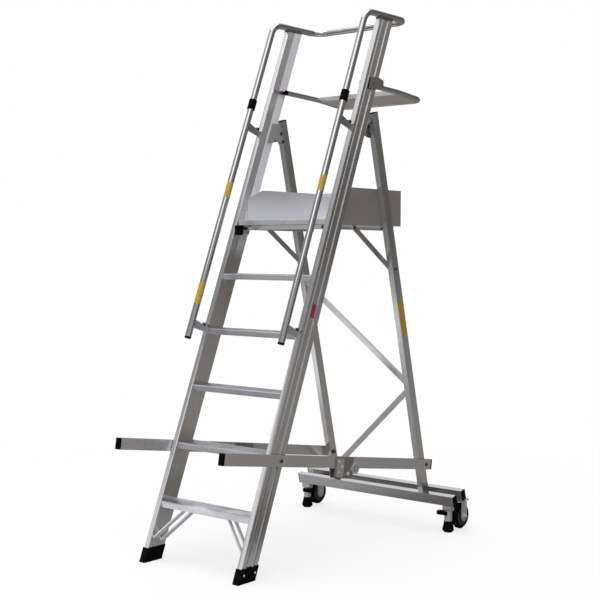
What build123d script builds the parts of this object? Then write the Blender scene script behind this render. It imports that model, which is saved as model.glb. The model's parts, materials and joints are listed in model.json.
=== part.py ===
"""Mobile platform ladder: five treads and a deck between leaning stiles, a braced rear frame, lift bars
and a base with two wheels and two parking feet.

Millimetres. +X is the climber's right, +Y leads away from the climber, +Z is up. While it is modelled, Y
is measured from the stiles' front edges at the floor. The finished pieces are moved so that the origin is
at the middle of the footprint.
"""
import os
from math import atan2, cos, degrees, hypot, radians, sin, tan

from build123d import *

# Flight of treads
RISE = 250.0             # from one tread to the next
FIRST_RISE = 255.0       # from the floor to the first tread
TREAD_COUNT = 5
LEAN = 21.7              # stiles, degrees from upright
CLEAR_WIDTH = 523.0      # between the stiles
STILE_DEPTH = 92.0
STILE_WIDTH = 28.0
STILE_WALL = 2.0
TREAD_HEIGHT = 26.0
TREAD_WALL = 3.0
TREAD_GROOVES = 9
GROOVE_WIDTH = 4.0
GROOVE_DEPTH = 1.2
NOSING_RADIUS = 4.0
# Grooves along the stile's outer face: start and end as shares of its depth, how deep they are
STILE_GROOVES = (
    (0.0, 0.21, 2.0),
    (0.28, 0.66, 4.0),
    (0.73, 1.0, 1.5),
)

# Fittings of the flight
SHOE_HEIGHT = 60.0
SHOE_WALL = 4.0
SHOE_FLOOR = 9.0
TREAD_BRACKET_LENGTH = 60.0
TREAD_BRACKET_DROP = 16.0
TREAD_BRACKET_REACH = 24.0
TREAD_BRACKET_PLATE = 3.0
TREAD_BRACKET_INSET = 14.0
GUSSET_DROP = 36.0       # web under the right end of the top tread
GUSSET_REACH = 44.0
GUSSET_LIP = 10.0
KNEE_BRACE_WIDTH = 20.0
KNEE_BRACE_PLATE = 6.0
KNEE_BRACE_FOOT = 108.0  # height at which a knee brace meets the stile
KNEE_BRACE_HEAD = 122.0  # how far in from the stile it meets the first tread
KNEE_BRACE_INSET = 12.0

# Rear frame
LEG_LEAN = 14.0          # degrees from upright
LEG_FOOT_Y = 1425.0      # where a leg's centre line meets the floor
LEG_DEPTH = 50.0
LEG_WALL = 2.0
LEG_TOP = 2000.0
CAP_PLATE = 4.0
REAR_BRACE_WIDTH = 26.0
REAR_BRACE_DEPTH = 14.0
REAR_BRACE_WALL = 2.0
HINGE_STILE_LOW = 1900.0
HINGE_LEG_LOW = 1884.0
HINGE_HIGH = 1946.0
HINGE_PLATE = 5.0
HINGE_LAP = 44.0         # width of the bracket's plate on the stile
HINGE_LAP_LOW = 1884.0
HINGE_LAP_HIGH = 1976.0

# Base across the floor
BASE_LENGTH = 966.0
BASE_TUBE_DEPTH = 30.0
BASE_TUBE_HEIGHT = 50.0
BASE_WALL = 2.0
BASE_LEVEL = 165.0       # height of the base's middle on the legs' centre line

# Parking feet
FOOT_INSET = 43.0        # from the base's end to the foot's middle
FOOT_DIAMETER = 56.0
FOOT_NECK_DIAMETER = 42.0
FOOT_HEIGHT = 54.0
FOOT_EDGE = 9.0
SPINDLE_DIAMETER = 38.0
SPINDLE_TOP = 104.0
FOOT_PLATE_X = 48.0
PEDAL_LENGTH = 46.0      # from the plunger's middle to the pedal's tip
PEDAL_LAP = 6.0          # past the plunger's middle
PEDAL_WIDTH = 26.0
PEDAL_HEIGHT = 19.0

# Wheels
WHEEL_DIAMETER = 125.0
WHEEL_WIDTH = 32.0
TYRE_EDGE = 8.0
HUB_DIAMETER = 90.0
HUB_WIDTH = 26.0
HUB_WALL = 6.5
AXLE_DIAMETER = 12.0
WHEEL_LIFT = 3.0         # the wheels stay off the floor while the ladder is parked
WHEEL_Y = 1446.0
WHEEL_INSET = 35.0       # from the base's end to the wheel's middle
FORK_PLATE = 3.0
FORK_SIDE_GAP = 6.0
FORK_TOP_GAP = 6.0
FORK_EYE = 50.0          # width of the fork's cheek at the axle
FORK_HEAD = 44.0         # and at its top

# Lift bars
BAR_HEIGHT = 50.0
BAR_WIDTH = 25.0
BAR_WALL = 2.0
BAR_STILE_Z = 480.0      # height of the bar's bolt on the stile
BAR_LEG_Z = 316.0        # height of the bar's bolt on the leg
BAR_FRONT_REACH = 352.0  # in front of the stile's bolt
BAR_REAR_REACH = 38.0    # behind the leg's bolt
BAR_CAP = 10.0
KNUCKLE_SHARE = 0.394    # of the way from the stile's bolt to the leg's bolt
KNUCKLE_LENGTH = 130.0
KNUCKLE_DROP = 46.0      # below the bar
KNUCKLE_CHAMFER = 12.0
KNUCKLE_PLATE = 4.0
KNUCKLE_SPLIT = 4.0      # between the two halves of a bar
KNUCKLE_PIN = 14.0
RING_DIAMETER = 50.0     # pull ring of the knuckle's lock
RING_WALL = 9.0
RING_PLATE = 8.0
RING_PAST = 12.0         # of its middle past the knuckle's end

# Deck
DECK_FRONT = 600.0
DECK_REAR = 1182.0
DECK_HEIGHT = 24.0
DECK_WALL = 3.0
DECK_PLANKS = 6
PLANK_GROOVES = 7
BEAM_WIDTH = 30.0
BEAM_HEIGHT = 22.0
BEAM_WALL = 2.0
BEAM_REAR = 1128.0
BEAM_SETBACK = 12.0      # of the beams behind the deck's front edge
BEAM_STEP_HEIGHT = 8.0   # notch along the front beam's upper edge
BEAM_STEP_DEPTH = 14.0
BOARD_RISE = 146.0       # of the toe boards above the deck
BOARD_PLATE = 3.0
BOARD_FRONT = 664.0
BOARD_CHAMFER_LOW = 1602.0
BOARD_CHAMFER_Y = 772.0
BLOCK_LENGTH = 34.0
BLOCK_HEIGHT = 46.0
BLOCK_WIDTH = 24.0
BLOCK_RADIUS = 8.0
STRUT_WIDTH = 25.0
STRUT_PLATE = 5.0
STRUT_BEAM_Y = 815.0
STRUT_LEG_Z = 1278.0

# Handrails and guard rail
RAIL_DIAMETER = 30.0
RAIL_WALL = 2.0
RAIL_OFFSET = 97.0       # from the stile's front edge to the handrail's centre line
RAIL_LEVEL = 2457.0      # centre of the guard rail
RAIL_REAR = 1210.0
RAIL_BEND = 70.0
HANDRAIL_FOOT = 972.0
HANDRAIL_JOINT = 2055.0
SLEEVE_LENGTH = 50.0
SLEEVE_WALL = 3.5
RAIL_PLUG = 6.0
SADDLE_HEIGHT = 22.0
BRACKET_HEIGHTS = (1000.0, 1920.0)
BRACKET_RAIL_WIDTH = 40.0
BRACKET_STILE_WIDTH = 26.0
BRACKET_PLATE = 6.0

# Knee rail and tray
KNEE_RAIL_DIAMETER = 25.0
KNEE_RAIL_WALL = 2.0
KNEE_RAIL_LEVEL = 2132.0 # at the front ends
KNEE_RAIL_LAP = 16.0     # of the tube's end over the stile
KNEE_RAIL_KINK = (1180.0, 2122.0)   # Y and Z
KNEE_RAIL_REAR = (1384.0, 2103.0)
KNEE_RAIL_BEND = 50.0
CLAMP_LENGTH = 94.0      # plate on the stile's inner face
CLAMP_HEIGHT = 16.0
CLAMP_PLATE = 5.0
LATCH_HEIGHT = 54.0      # block round the right end of the knee rail
LATCH_TAIL = 36.0        # height of its rear end
LATCH_LAP = 60.0         # of its cheek over the stile's outer face
LATCH_REACH = 40.0       # behind the stile
LATCH_WALL = 6.0
TRAY_LIP = 22.0
TRAY_PLATE = 2.0
TRAY_BELOW = 9.0         # of the tray's floor under the tubes' centre line

FIT = 0.3                # between pieces that seat on curved or leaning faces
BORE_FIT = 0.3           # round an axle
FAR = 6000.0             # larger than the ladder
OVERRUN = 0.3            # share by which a slanting bar is made longer before its ends are cut

# Worked out from the sizes above
INNER_X = CLEAR_WIDTH / 2
OUTER_X = INNER_X + STILE_WIDTH
STILE_X = INNER_X + STILE_WIDTH / 2
LEAN_TAN = tan(radians(LEAN))
LEAN_COS = cos(radians(LEAN))
LEAN_SIN = sin(radians(LEAN))
LEG_TAN = tan(radians(LEG_LEAN))
LEG_COS = cos(radians(LEG_LEAN))
LEG_SIN = sin(radians(LEG_LEAN))
STILE_RUN = STILE_DEPTH / LEAN_COS
DECK_LEVEL = FIRST_RISE + TREAD_COUNT * RISE
DECK_UNDER = DECK_LEVEL - DECK_HEIGHT
BEAM_UNDER = DECK_UNDER - BEAM_HEIGHT
WHEEL_RADIUS = WHEEL_DIAMETER / 2
WHEEL_Z = WHEEL_RADIUS + WHEEL_LIFT
STILE_TOP = RAIL_LEVEL - SADDLE_HEIGHT
FOOT_X = BASE_LENGTH / 2 - FOOT_INSET
WHEEL_X = BASE_LENGTH / 2 - WHEEL_INSET
BEAM_X = INNER_X - STRUT_PLATE - 2 * FIT    # outer face of the deck's side beams
BEAM_FRONT = DECK_FRONT + BEAM_SETBACK
KNEE_RAIL_X = INNER_X - CLAMP_PLATE - 2 * FIT - KNEE_RAIL_DIAMETER / 2


def stile_front(z):
    """Y of the stiles' front edge at height z."""
    return z * LEAN_TAN


def stile_rear(z):
    """Y of the stiles' rear edge at height z."""
    return stile_front(z) + STILE_RUN


def tread_level(number):
    """Height of a tread's top, counted from one at the bottom."""
    return FIRST_RISE + (number - 1) * RISE


def leg_middle(z):
    """Y of the legs' centre line at height z."""
    return LEG_FOOT_Y - z * LEG_TAN


def handrail_y(z):
    """Y of the handrails' centre line at height z."""
    return stile_front(z) - RAIL_OFFSET / LEAN_COS


# Working planes
STILE_PLANE = Plane((INNER_X, 0, 0), x_dir=(1, 0, 0), z_dir=(0, LEAN_SIN, LEAN_COS))
LEG_PLANE = Plane((0, LEG_FOOT_Y, 0), x_dir=(1, 0, 0), z_dir=(0, -LEG_SIN, LEG_COS))
REAR_PLANE = Plane((0, LEG_FOOT_Y, 0), x_dir=(1, 0, 0), z_dir=(0, -LEG_COS, -LEG_SIN))


def side_plane(x):
    """Plane whose own x and y are the ladder's Y and Z, looking along +X."""
    return Plane((x, 0, 0), x_dir=(0, 1, 0), z_dir=(1, 0, 0))


def slab(low, high):
    """All of space between two heights."""
    return Pos(0, 0, (low + high) / 2) * Box(FAR, FAR, high - low)


def corner_rectangle(width, height):
    """Rectangle from its own lower left corner."""
    return Rectangle(width, height, align=(Align.MIN, Align.MIN))


def box_tube(width, height, wall):
    """Section of a rectangular tube about its centre."""
    return Rectangle(width, height) - Rectangle(width - 2 * wall, height - 2 * wall)


def round_tube(path, diameter, wall):
    """Tube swept along a path."""
    start = Plane(path @ 0, z_dir=path % 0)
    solid = sweep(start * Circle(diameter / 2), path=path)
    return solid - sweep(start * Circle(diameter / 2 - wall), path=path)


def strip(start, end, width):
    """Straight band in a plane between two points."""
    length = hypot(end[0] - start[0], end[1] - start[1])
    angle = degrees(atan2(end[1] - start[1], end[0] - start[0]))
    middle = ((start[0] + end[0]) / 2, (start[1] + end[1]) / 2)
    return Pos(*middle) * Rot(0, 0, angle) * Rectangle(length, width)


def stile():
    """Right stile: hollow extrusion with ribs and grooves along its outer face."""
    section = corner_rectangle(STILE_WIDTH, STILE_DEPTH)
    for start, end, depth in STILE_GROOVES:
        groove = corner_rectangle(depth, (end - start) * STILE_DEPTH)
        section -= Pos(STILE_WIDTH - depth, start * STILE_DEPTH) * groove
    deepest = max(depth for _, _, depth in STILE_GROOVES)
    hollow = corner_rectangle(STILE_WIDTH - deepest - 2 * STILE_WALL, STILE_DEPTH - 2 * STILE_WALL)
    section -= Pos(STILE_WALL, STILE_WALL) * hollow
    length = STILE_TOP / LEAN_COS + 2 * STILE_DEPTH
    bar = extrude(STILE_PLANE.offset(-STILE_DEPTH) * section, length)
    return bar & slab(SHOE_FLOOR, STILE_TOP)


def shoe():
    """Boot under the right stile, flat on the floor, its top level."""
    middle = Pos(STILE_WIDTH / 2, STILE_DEPTH / 2)
    outline = middle * Rectangle(STILE_WIDTH + 2 * SHOE_WALL, STILE_DEPTH + 2 * SHOE_WALL)
    outline = fillet(outline.vertices(), SHOE_WALL)
    pocket = middle * Rectangle(STILE_WIDTH + 2 * FIT, STILE_DEPTH + 2 * FIT)
    body = extrude(STILE_PLANE.offset(-STILE_DEPTH) * outline, FAR) & slab(0, SHOE_HEIGHT)
    hollow = extrude(STILE_PLANE.offset(-STILE_DEPTH) * pocket, FAR) & slab(SHOE_FLOOR, FAR)
    return body - hollow


def tread(number):
    """Grooved hollow tread between the stiles."""
    top = tread_level(number)
    front = stile_front(top)
    outline = Pos(front, top - TREAD_HEIGHT) * corner_rectangle(STILE_RUN, TREAD_HEIGHT)
    nose = outline.vertices().sort_by(Axis.Y)[-2:].sort_by(Axis.X)[0]
    outline = fillet(nose, NOSING_RADIUS)
    pitch = STILE_RUN / (TREAD_GROOVES + 1)
    for index in range(TREAD_GROOVES):
        middle = front + (index + 1) * pitch
        outline -= Pos(middle, top) * Rectangle(GROOVE_WIDTH, 2 * GROOVE_DEPTH)
    chamber = (STILE_RUN - 3 * TREAD_WALL) / 2
    for index in range(2):
        corner = (front + TREAD_WALL + index * (chamber + TREAD_WALL), top - TREAD_HEIGHT + TREAD_WALL)
        outline -= Pos(*corner) * corner_rectangle(chamber, TREAD_HEIGHT - 2 * TREAD_WALL)
    return extrude(side_plane(-INNER_X) * outline, CLEAR_WIDTH)


def tread_brackets():
    """Angles that carry the treads on both stiles, the top one on the right with a web in front."""
    corner = (Align.MAX, Align.MIN, Align.MAX)
    angle = Box(TREAD_BRACKET_REACH, TREAD_BRACKET_LENGTH, TREAD_BRACKET_PLATE, align=corner)
    angle += Box(TREAD_BRACKET_PLATE, TREAD_BRACKET_LENGTH, TREAD_BRACKET_DROP, align=corner)
    web = Polygon((0, 0), (-GUSSET_REACH, 0), (-GUSSET_REACH, -GUSSET_LIP),
                  (-GUSSET_LIP, -GUSSET_DROP), (0, -GUSSET_DROP), align=None)
    webbed = angle + extrude(Plane.XZ * web, -TREAD_BRACKET_PLATE)
    angles = []
    for number in range(1, TREAD_COUNT + 1):
        front = stile_front(tread_level(number)) + TREAD_BRACKET_INSET
        place = Pos(INNER_X, front, tread_level(number) - TREAD_HEIGHT)
        angles.append(place * (webbed if number == TREAD_COUNT else angle))
        angles.append(mirror(place * angle, about=Plane.YZ))
    return Compound(children=angles)


def knee_braces():
    """Two flat bars from the right stile up to the first tread."""
    tread_under = FIRST_RISE - TREAD_HEIGHT
    foot = KNEE_BRACE_FOOT / LEAN_COS
    rise = (tread_under - KNEE_BRACE_FOOT) / LEAN_COS
    below = (INNER_X + KNEE_BRACE_HEAD * OVERRUN, foot - rise * OVERRUN)
    above = (INNER_X - KNEE_BRACE_HEAD * (1 + OVERRUN), foot + rise * (1 + OVERRUN))
    room = Pos(INNER_X - FAR / 2, 0, 0) * Box(FAR, FAR, FAR) & slab(0, tread_under)
    bars = []
    for inset in (KNEE_BRACE_INSET, STILE_DEPTH - KNEE_BRACE_INSET - KNEE_BRACE_WIDTH):
        origin = (0, inset * LEAN_COS, -inset * LEAN_SIN)
        plane = Plane(origin, x_dir=(1, 0, 0), z_dir=(0, LEAN_COS, -LEAN_SIN))
        band = strip((below[0], -below[1]), (above[0], -above[1]), KNEE_BRACE_PLATE)
        bars.append(extrude(plane * band, KNEE_BRACE_WIDTH) & room)
    return Compound(children=bars)


def leg():
    """Right rear leg, in the plane of the stile."""
    section = Pos(STILE_X, 0) * box_tube(STILE_WIDTH, LEG_DEPTH, LEG_WALL)
    low = BASE_LEVEL / LEG_COS - BASE_TUBE_HEIGHT / 2
    high = LEG_TOP / LEG_COS - CAP_PLATE
    return extrude(LEG_PLANE.offset(low) * section, high - low)


def leg_caps():
    """Flat cap on the right leg's top."""
    section = Pos(STILE_X, 0) * Rectangle(STILE_WIDTH, LEG_DEPTH)
    return extrude(LEG_PLANE.offset(LEG_TOP / LEG_COS - CAP_PLATE) * section, CAP_PLATE)


def hinge_brackets():
    """Wedge that joins the right leg's head to the stile, with a plate on the stile's inner face."""
    def leg_front(z):
        return leg_middle(z) - LEG_DEPTH / 2 / LEG_COS - FIT

    def wedge(inset):
        corners = ((stile_rear(HINGE_STILE_LOW) + FIT + inset, HINGE_STILE_LOW),
                   (leg_front(HINGE_LEG_LOW) - inset, HINGE_LEG_LOW),
                   (leg_front(HINGE_HIGH) - inset, HINGE_HIGH),
                   (stile_rear(HINGE_HIGH) + FIT + inset, HINGE_HIGH))
        return Polygon(*corners, align=None)

    frame = extrude(side_plane(INNER_X) * (wedge(0) - wedge(HINGE_PLATE / LEAN_COS)), STILE_WIDTH)
    web = extrude(side_plane(INNER_X - FIT - HINGE_PLATE) * wedge(0), 2 * HINGE_PLATE)
    edge = (HINGE_LAP_LOW, HINGE_STILE_LOW, HINGE_HIGH, HINGE_LAP_HIGH)
    lap = Polygon(*((stile_rear(z) + FIT, z) for z in edge),
                  *((stile_rear(z) - HINGE_LAP, z) for z in (HINGE_LAP_HIGH, HINGE_LAP_LOW)), align=None)
    return frame + web + extrude(side_plane(INNER_X - FIT - HINGE_PLATE) * lap, HINGE_PLATE)


# Rear braces: name, height on the left leg, height on the right leg
REAR_BRACES = (
    ("rear_brace_upper", 1196.0, 724.0),
    ("rear_brace_lower", 236.0, 684.0),
)


def rear_brace(left_z, right_z):
    """Tube across the rear frame from leg to leg."""
    reach = INNER_X - FIT
    start = (-INNER_X, left_z / LEG_COS)
    end = (INNER_X, right_z / LEG_COS)
    step = ((end[0] - start[0]) * OVERRUN, (end[1] - start[1]) * OVERRUN)
    start = (start[0] - step[0], start[1] - step[1])
    end = (end[0] + step[0], end[1] + step[1])
    between = Rectangle(2 * reach, FAR)

    def bar(width, depth):
        return extrude(REAR_PLANE * (strip(start, end, width) & between), depth / 2, both=True)

    bore = bar(REAR_BRACE_WIDTH - 2 * REAR_BRACE_WALL, REAR_BRACE_DEPTH - 2 * REAR_BRACE_WALL)
    return bar(REAR_BRACE_WIDTH, REAR_BRACE_DEPTH) - bore


def base_tube(side):
    """Tube across the base, in front of the legs (-1) or behind them (1)."""
    middle = side * (LEG_DEPTH / 2 + BASE_TUBE_DEPTH / 2)
    plane = Plane((0, LEG_FOOT_Y, 0), x_dir=(0, LEG_COS, LEG_SIN), z_dir=(1, 0, 0))
    section = Pos(middle, BASE_LEVEL / LEG_COS) * box_tube(BASE_TUBE_DEPTH, BASE_TUBE_HEIGHT, BASE_WALL)
    return extrude(plane * section, BASE_LENGTH / 2 - CAP_PLATE, both=True)


def base_caps():
    """End caps of the base's tubes on the right."""
    start = BASE_LENGTH / 2 - CAP_PLATE
    plane = Plane((start, LEG_FOOT_Y, 0), x_dir=(0, LEG_COS, LEG_SIN), z_dir=(1, 0, 0))
    caps = []
    for side in (-1, 1):
        middle = side * (LEG_DEPTH / 2 + BASE_TUBE_DEPTH / 2)
        section = Pos(middle, BASE_LEVEL / LEG_COS) * Rectangle(BASE_TUBE_DEPTH, BASE_TUBE_HEIGHT)
        caps.append(extrude(plane * section, CAP_PLATE))
    return Compound(children=caps)


def base_point(across, along):
    """Y and Z of a point of the base, from across and along the legs."""
    y = LEG_FOOT_Y + across * LEG_COS - along * LEG_SIN
    z = across * LEG_SIN + along * LEG_COS
    return y, z


def under_base():
    """All of space under the base's tubes."""
    top = BASE_LEVEL / LEG_COS - BASE_TUBE_HEIGHT / 2
    return extrude(LEG_PLANE.offset(top) * Rectangle(FAR, FAR), -FAR)


FOOT_Y = base_point(-(LEG_DEPTH + BASE_TUBE_DEPTH) / 2, BASE_LEVEL / LEG_COS - BASE_TUBE_HEIGHT / 2)[0]


def foot_plates():
    """Wedge under the base that carries the right parking foot."""
    block = Pos(FOOT_X, FOOT_Y, SPINDLE_TOP) * Box(
        FOOT_PLATE_X, BASE_TUBE_DEPTH, FAR / 2, align=(Align.CENTER, Align.CENTER, Align.MIN))
    return block & under_base()


def foot_spindles():
    """Plunger of the right parking foot."""
    return Pos(FOOT_X, FOOT_Y, FOOT_HEIGHT) * Cylinder(
        SPINDLE_DIAMETER / 2, SPINDLE_TOP - FOOT_HEIGHT, align=(Align.CENTER, Align.CENTER, Align.MIN))


def foot_pedals():
    """Pedal against the right parking foot's plunger."""
    corner = (FOOT_X + PEDAL_LAP, FOOT_Y - SPINDLE_DIAMETER / 2, SPINDLE_TOP - FIT)
    lever = Pos(*corner) * Box(
        PEDAL_LENGTH + PEDAL_LAP, PEDAL_WIDTH, PEDAL_HEIGHT, align=(Align.MAX, Align.CENTER, Align.MAX))
    return lever - Pos(FOOT_X, FOOT_Y, 0) * Cylinder(SPINDLE_DIAMETER / 2 + FIT, FAR)


def foot_pad():
    """Rubber bell of the right parking foot."""
    foot = FOOT_DIAMETER / 2
    neck = FOOT_NECK_DIAMETER / 2
    profile = Polygon((0, 0), (foot - FOOT_EDGE, 0), (foot, FOOT_EDGE), (foot, 2 * FOOT_EDGE),
                      (neck, FOOT_HEIGHT - FOOT_EDGE), (neck, FOOT_HEIGHT), (0, FOOT_HEIGHT), align=None)
    return Pos(FOOT_X, FOOT_Y, 0) * revolve(Plane.XZ * profile, Axis.Z)


def wheel_section(inner, outer, width, edge):
    """Half section of a wheel's ring about the X axis, its outer edges cut back."""
    half = width / 2
    return Polygon((-half, inner), (half, inner), (half, outer - edge), (half - edge, outer),
                   (edge - half, outer), (-half, outer - edge), align=None)


def at_wheel(piece):
    """Moves a piece from the origin to the right wheel's centre."""
    return Pos(WHEEL_X, WHEEL_Y, WHEEL_Z) * piece


def tyre():
    """Right tyre."""
    section = wheel_section(HUB_DIAMETER / 2, WHEEL_RADIUS, WHEEL_WIDTH, TYRE_EDGE)
    return at_wheel(revolve(section, Axis.X))


def hub():
    """Right hub: a rim and a boss joined by a thin web."""
    bore = AXLE_DIAMETER / 2 + BORE_FIT
    boss = AXLE_DIAMETER
    rim = HUB_DIAMETER / 2 - HUB_WALL
    half = HUB_WIDTH / 2
    web = HUB_WALL
    inside = WHEEL_WIDTH / 2 + FORK_SIDE_GAP - FIT
    section = Polygon((-inside, bore), (inside, bore), (inside, boss), (web, boss), (web, rim), (half, rim),
                      (half, HUB_DIAMETER / 2), (-half, HUB_DIAMETER / 2), (-half, rim), (-web, rim),
                      (-web, boss), (-inside, boss), align=None)
    return at_wheel(revolve(section, Axis.X))


FORK_INSIDE = WHEEL_WIDTH / 2 + FORK_SIDE_GAP
FORK_LEVEL = WHEEL_Z + WHEEL_RADIUS + FORK_TOP_GAP


def fork():
    """Fork of the right wheel under the base, its cheeks round the axle."""
    across = 2 * (FORK_INSIDE + FORK_PLATE)
    plate = Box(across, BASE_TUBE_DEPTH, FAR / 2, align=(Align.CENTER, Align.CENTER, Align.MIN))
    head = Pos(WHEEL_X, WHEEL_Y, FORK_LEVEL) * plate & under_base()
    outline = make_hull([
        *(Pos(WHEEL_Y, WHEEL_Z) * Circle(FORK_EYE / 2)).edges(),
        *(Pos(WHEEL_Y, FORK_LEVEL) * Rectangle(FORK_HEAD, FORK_PLATE)).edges(),
    ])
    eye = Pos(WHEEL_Y, WHEEL_Z) * Circle(AXLE_DIAMETER / 2)
    for side in (-1, 1):
        inner = WHEEL_X + side * (FORK_INSIDE + FORK_PLATE / 2) - FORK_PLATE / 2
        head += extrude(side_plane(inner) * (outline - eye), FORK_PLATE)
    return head


def axles():
    """Axle of the right wheel, in the fork's eyes."""
    length = 2 * (FORK_INSIDE + FORK_PLATE)
    return at_wheel(Rot(0, 90, 0) * Cylinder(AXLE_DIAMETER / 2, length))


# Lift bar's own line, from the stile's bolt to the leg's bolt
BAR_START = (stile_front(BAR_STILE_Z) + STILE_RUN / 2, BAR_STILE_Z)
BAR_END = (leg_middle(BAR_LEG_Z), BAR_LEG_Z)
BAR_SPAN = hypot(BAR_END[0] - BAR_START[0], BAR_END[1] - BAR_START[1])
BAR_FALL = atan2(BAR_START[1] - BAR_END[1], BAR_END[0] - BAR_START[0])
BAR_X = OUTER_X + FIT
BAR_LINE = (0, cos(BAR_FALL), -sin(BAR_FALL))
BAR_PLANE = Plane((BAR_X + BAR_WIDTH / 2, *BAR_START), x_dir=(-1, 0, 0), z_dir=BAR_LINE)
KNUCKLE_AT = BAR_SPAN * KNUCKLE_SHARE


def bar_length(low, high, section):
    """Stretch of the right lift bar between two distances from the stile's bolt."""
    return extrude(BAR_PLANE.offset(low) * section, high - low)


def lift_bar_front():
    """Front half of the right lift bar."""
    end = KNUCKLE_AT - KNUCKLE_SPLIT / 2
    return bar_length(-BAR_FRONT_REACH, end, box_tube(BAR_WIDTH, BAR_HEIGHT, BAR_WALL))


def lift_bar_rear():
    """Rear half of the right lift bar."""
    start = KNUCKLE_AT + KNUCKLE_SPLIT / 2
    return bar_length(start, BAR_SPAN + BAR_REAR_REACH, box_tube(BAR_WIDTH, BAR_HEIGHT, BAR_WALL))


def lift_bar_caps():
    """Caps on the right lift bar's ends."""
    outline = fillet(Rectangle(BAR_WIDTH, BAR_HEIGHT).vertices(), BAR_WALL)
    front = bar_length(-BAR_FRONT_REACH - BAR_CAP, -BAR_FRONT_REACH, outline)
    rear_end = BAR_SPAN + BAR_REAR_REACH
    return Compound(children=[front, bar_length(rear_end, rear_end + BAR_CAP, outline)])


def knuckle_plane(x):
    """Side plane along the lift bar at its knuckle."""
    y = BAR_START[0] + KNUCKLE_AT * cos(BAR_FALL)
    z = BAR_START[1] - KNUCKLE_AT * sin(BAR_FALL)
    return Plane((x, y, z), x_dir=BAR_LINE, z_dir=(1, 0, 0))


RING_MIDDLE = (KNUCKLE_LENGTH / 2 + RING_PAST, -BAR_HEIGHT / 2)


def knuckle():
    """Folding joint of the right lift bar: a channel round the bar with its pin underneath."""
    top = BAR_HEIGHT / 2
    height = BAR_HEIGHT + KNUCKLE_DROP
    outline = Pos(0, top - height / 2) * Rectangle(KNUCKLE_LENGTH, height)
    outline = chamfer(outline.vertices().group_by(Axis.Y)[0], KNUCKLE_CHAMFER)
    eye = RING_DIAMETER / 2 - RING_WALL
    lug = Pos(*RING_MIDDLE) * Circle(eye)
    lug += Pos(RING_MIDDLE[0] - RING_PAST, RING_MIDDLE[1]) * Rectangle(2 * RING_PAST, 2 * eye)
    inner_x = BAR_X - FIT - KNUCKLE_PLATE
    outer_x = BAR_X + BAR_WIDTH + FIT
    across = outer_x - inner_x
    under = Pos(0, -top - FIT) * Rectangle(KNUCKLE_LENGTH, KNUCKLE_PLATE, align=(Align.CENTER, Align.MAX))
    pin = Pos(0, -top - KNUCKLE_DROP / 2) * Circle(KNUCKLE_PIN / 2)
    body = extrude(knuckle_plane(inner_x) * outline, KNUCKLE_PLATE)
    body += extrude(knuckle_plane(outer_x) * (outline + lug), KNUCKLE_PLATE)
    body += extrude(knuckle_plane(inner_x) * under, across)
    return body + extrude(knuckle_plane(inner_x) * pin, across)


def knuckle_knobs():
    """Pull ring of the lock, on the outer cheek of the right knuckle."""
    x = BAR_X + BAR_WIDTH + FIT + KNUCKLE_PLATE
    ring = Circle(RING_DIAMETER / 2) - Circle(RING_DIAMETER / 2 - RING_WALL)
    stem = Circle(KNUCKLE_PIN / 2) + Rectangle(KNUCKLE_PIN / 2, RING_DIAMETER - RING_WALL)
    return extrude(knuckle_plane(x) * Pos(*RING_MIDDLE) * (ring + stem), RING_PLATE)


def deck():
    """Deck of grooved planks joined side by side, their edges turned down."""
    length = DECK_REAR - DECK_FRONT
    half_width = INNER_X - FIT - BOARD_PLATE
    section = Pos(DECK_FRONT, DECK_UNDER) * corner_rectangle(length, DECK_HEIGHT)
    nose = section.vertices().sort_by(Axis.Y)[-2:].sort_by(Axis.X)[0]
    section = fillet(nose, NOSING_RADIUS)
    plank = length / DECK_PLANKS
    pitch = plank / PLANK_GROOVES
    for index in range(DECK_PLANKS):
        start = DECK_FRONT + index * plank
        hollow = corner_rectangle(plank - 2 * DECK_WALL, DECK_HEIGHT - 2 * DECK_WALL)
        section -= Pos(start + DECK_WALL, DECK_UNDER + DECK_WALL) * hollow
        for groove in range(PLANK_GROOVES):
            middle = start + (groove + 0.5) * pitch
            section -= Pos(middle, DECK_LEVEL) * Rectangle(GROOVE_WIDTH, 2 * GROOVE_DEPTH)
    return extrude(side_plane(-half_width) * section, 2 * half_width)


def deck_beam():
    """Tube under the right edge of the deck, from the front beam to behind the leg."""
    start = (BEAM_X - BEAM_WIDTH / 2, BEAM_FRONT, DECK_UNDER - BEAM_HEIGHT / 2)
    plane = Plane(start, x_dir=(-1, 0, 0), z_dir=(0, 1, 0))
    return extrude(plane * box_tube(BEAM_WIDTH, BEAM_HEIGHT, BEAM_WALL), BEAM_REAR - BEAM_FRONT)


def deck_beam_front():
    """Stepped bar across under the deck's front edge, between the side beams."""
    half = BEAM_X - BEAM_WIDTH
    section = Pos(BEAM_FRONT, BEAM_UNDER) * corner_rectangle(BEAM_WIDTH, BEAM_HEIGHT)
    step = corner_rectangle(BEAM_STEP_DEPTH, BEAM_STEP_HEIGHT)
    section -= Pos(BEAM_FRONT, DECK_UNDER - BEAM_STEP_HEIGHT) * step
    return extrude(side_plane(-half) * section, 2 * half)


def deck_blocks():
    """Block on the left stile under the deck's front edge."""
    middle = DECK_UNDER - FIT - BLOCK_HEIGHT / 2
    rear = BEAM_FRONT - FIT
    block = Pos(-INNER_X, rear, middle) * Box(
        BLOCK_WIDTH, BLOCK_LENGTH, BLOCK_HEIGHT, align=(Align.MIN, Align.MAX, Align.CENTER))
    return fillet(block.edges().filter_by(Axis.X), BLOCK_RADIUS)


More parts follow.
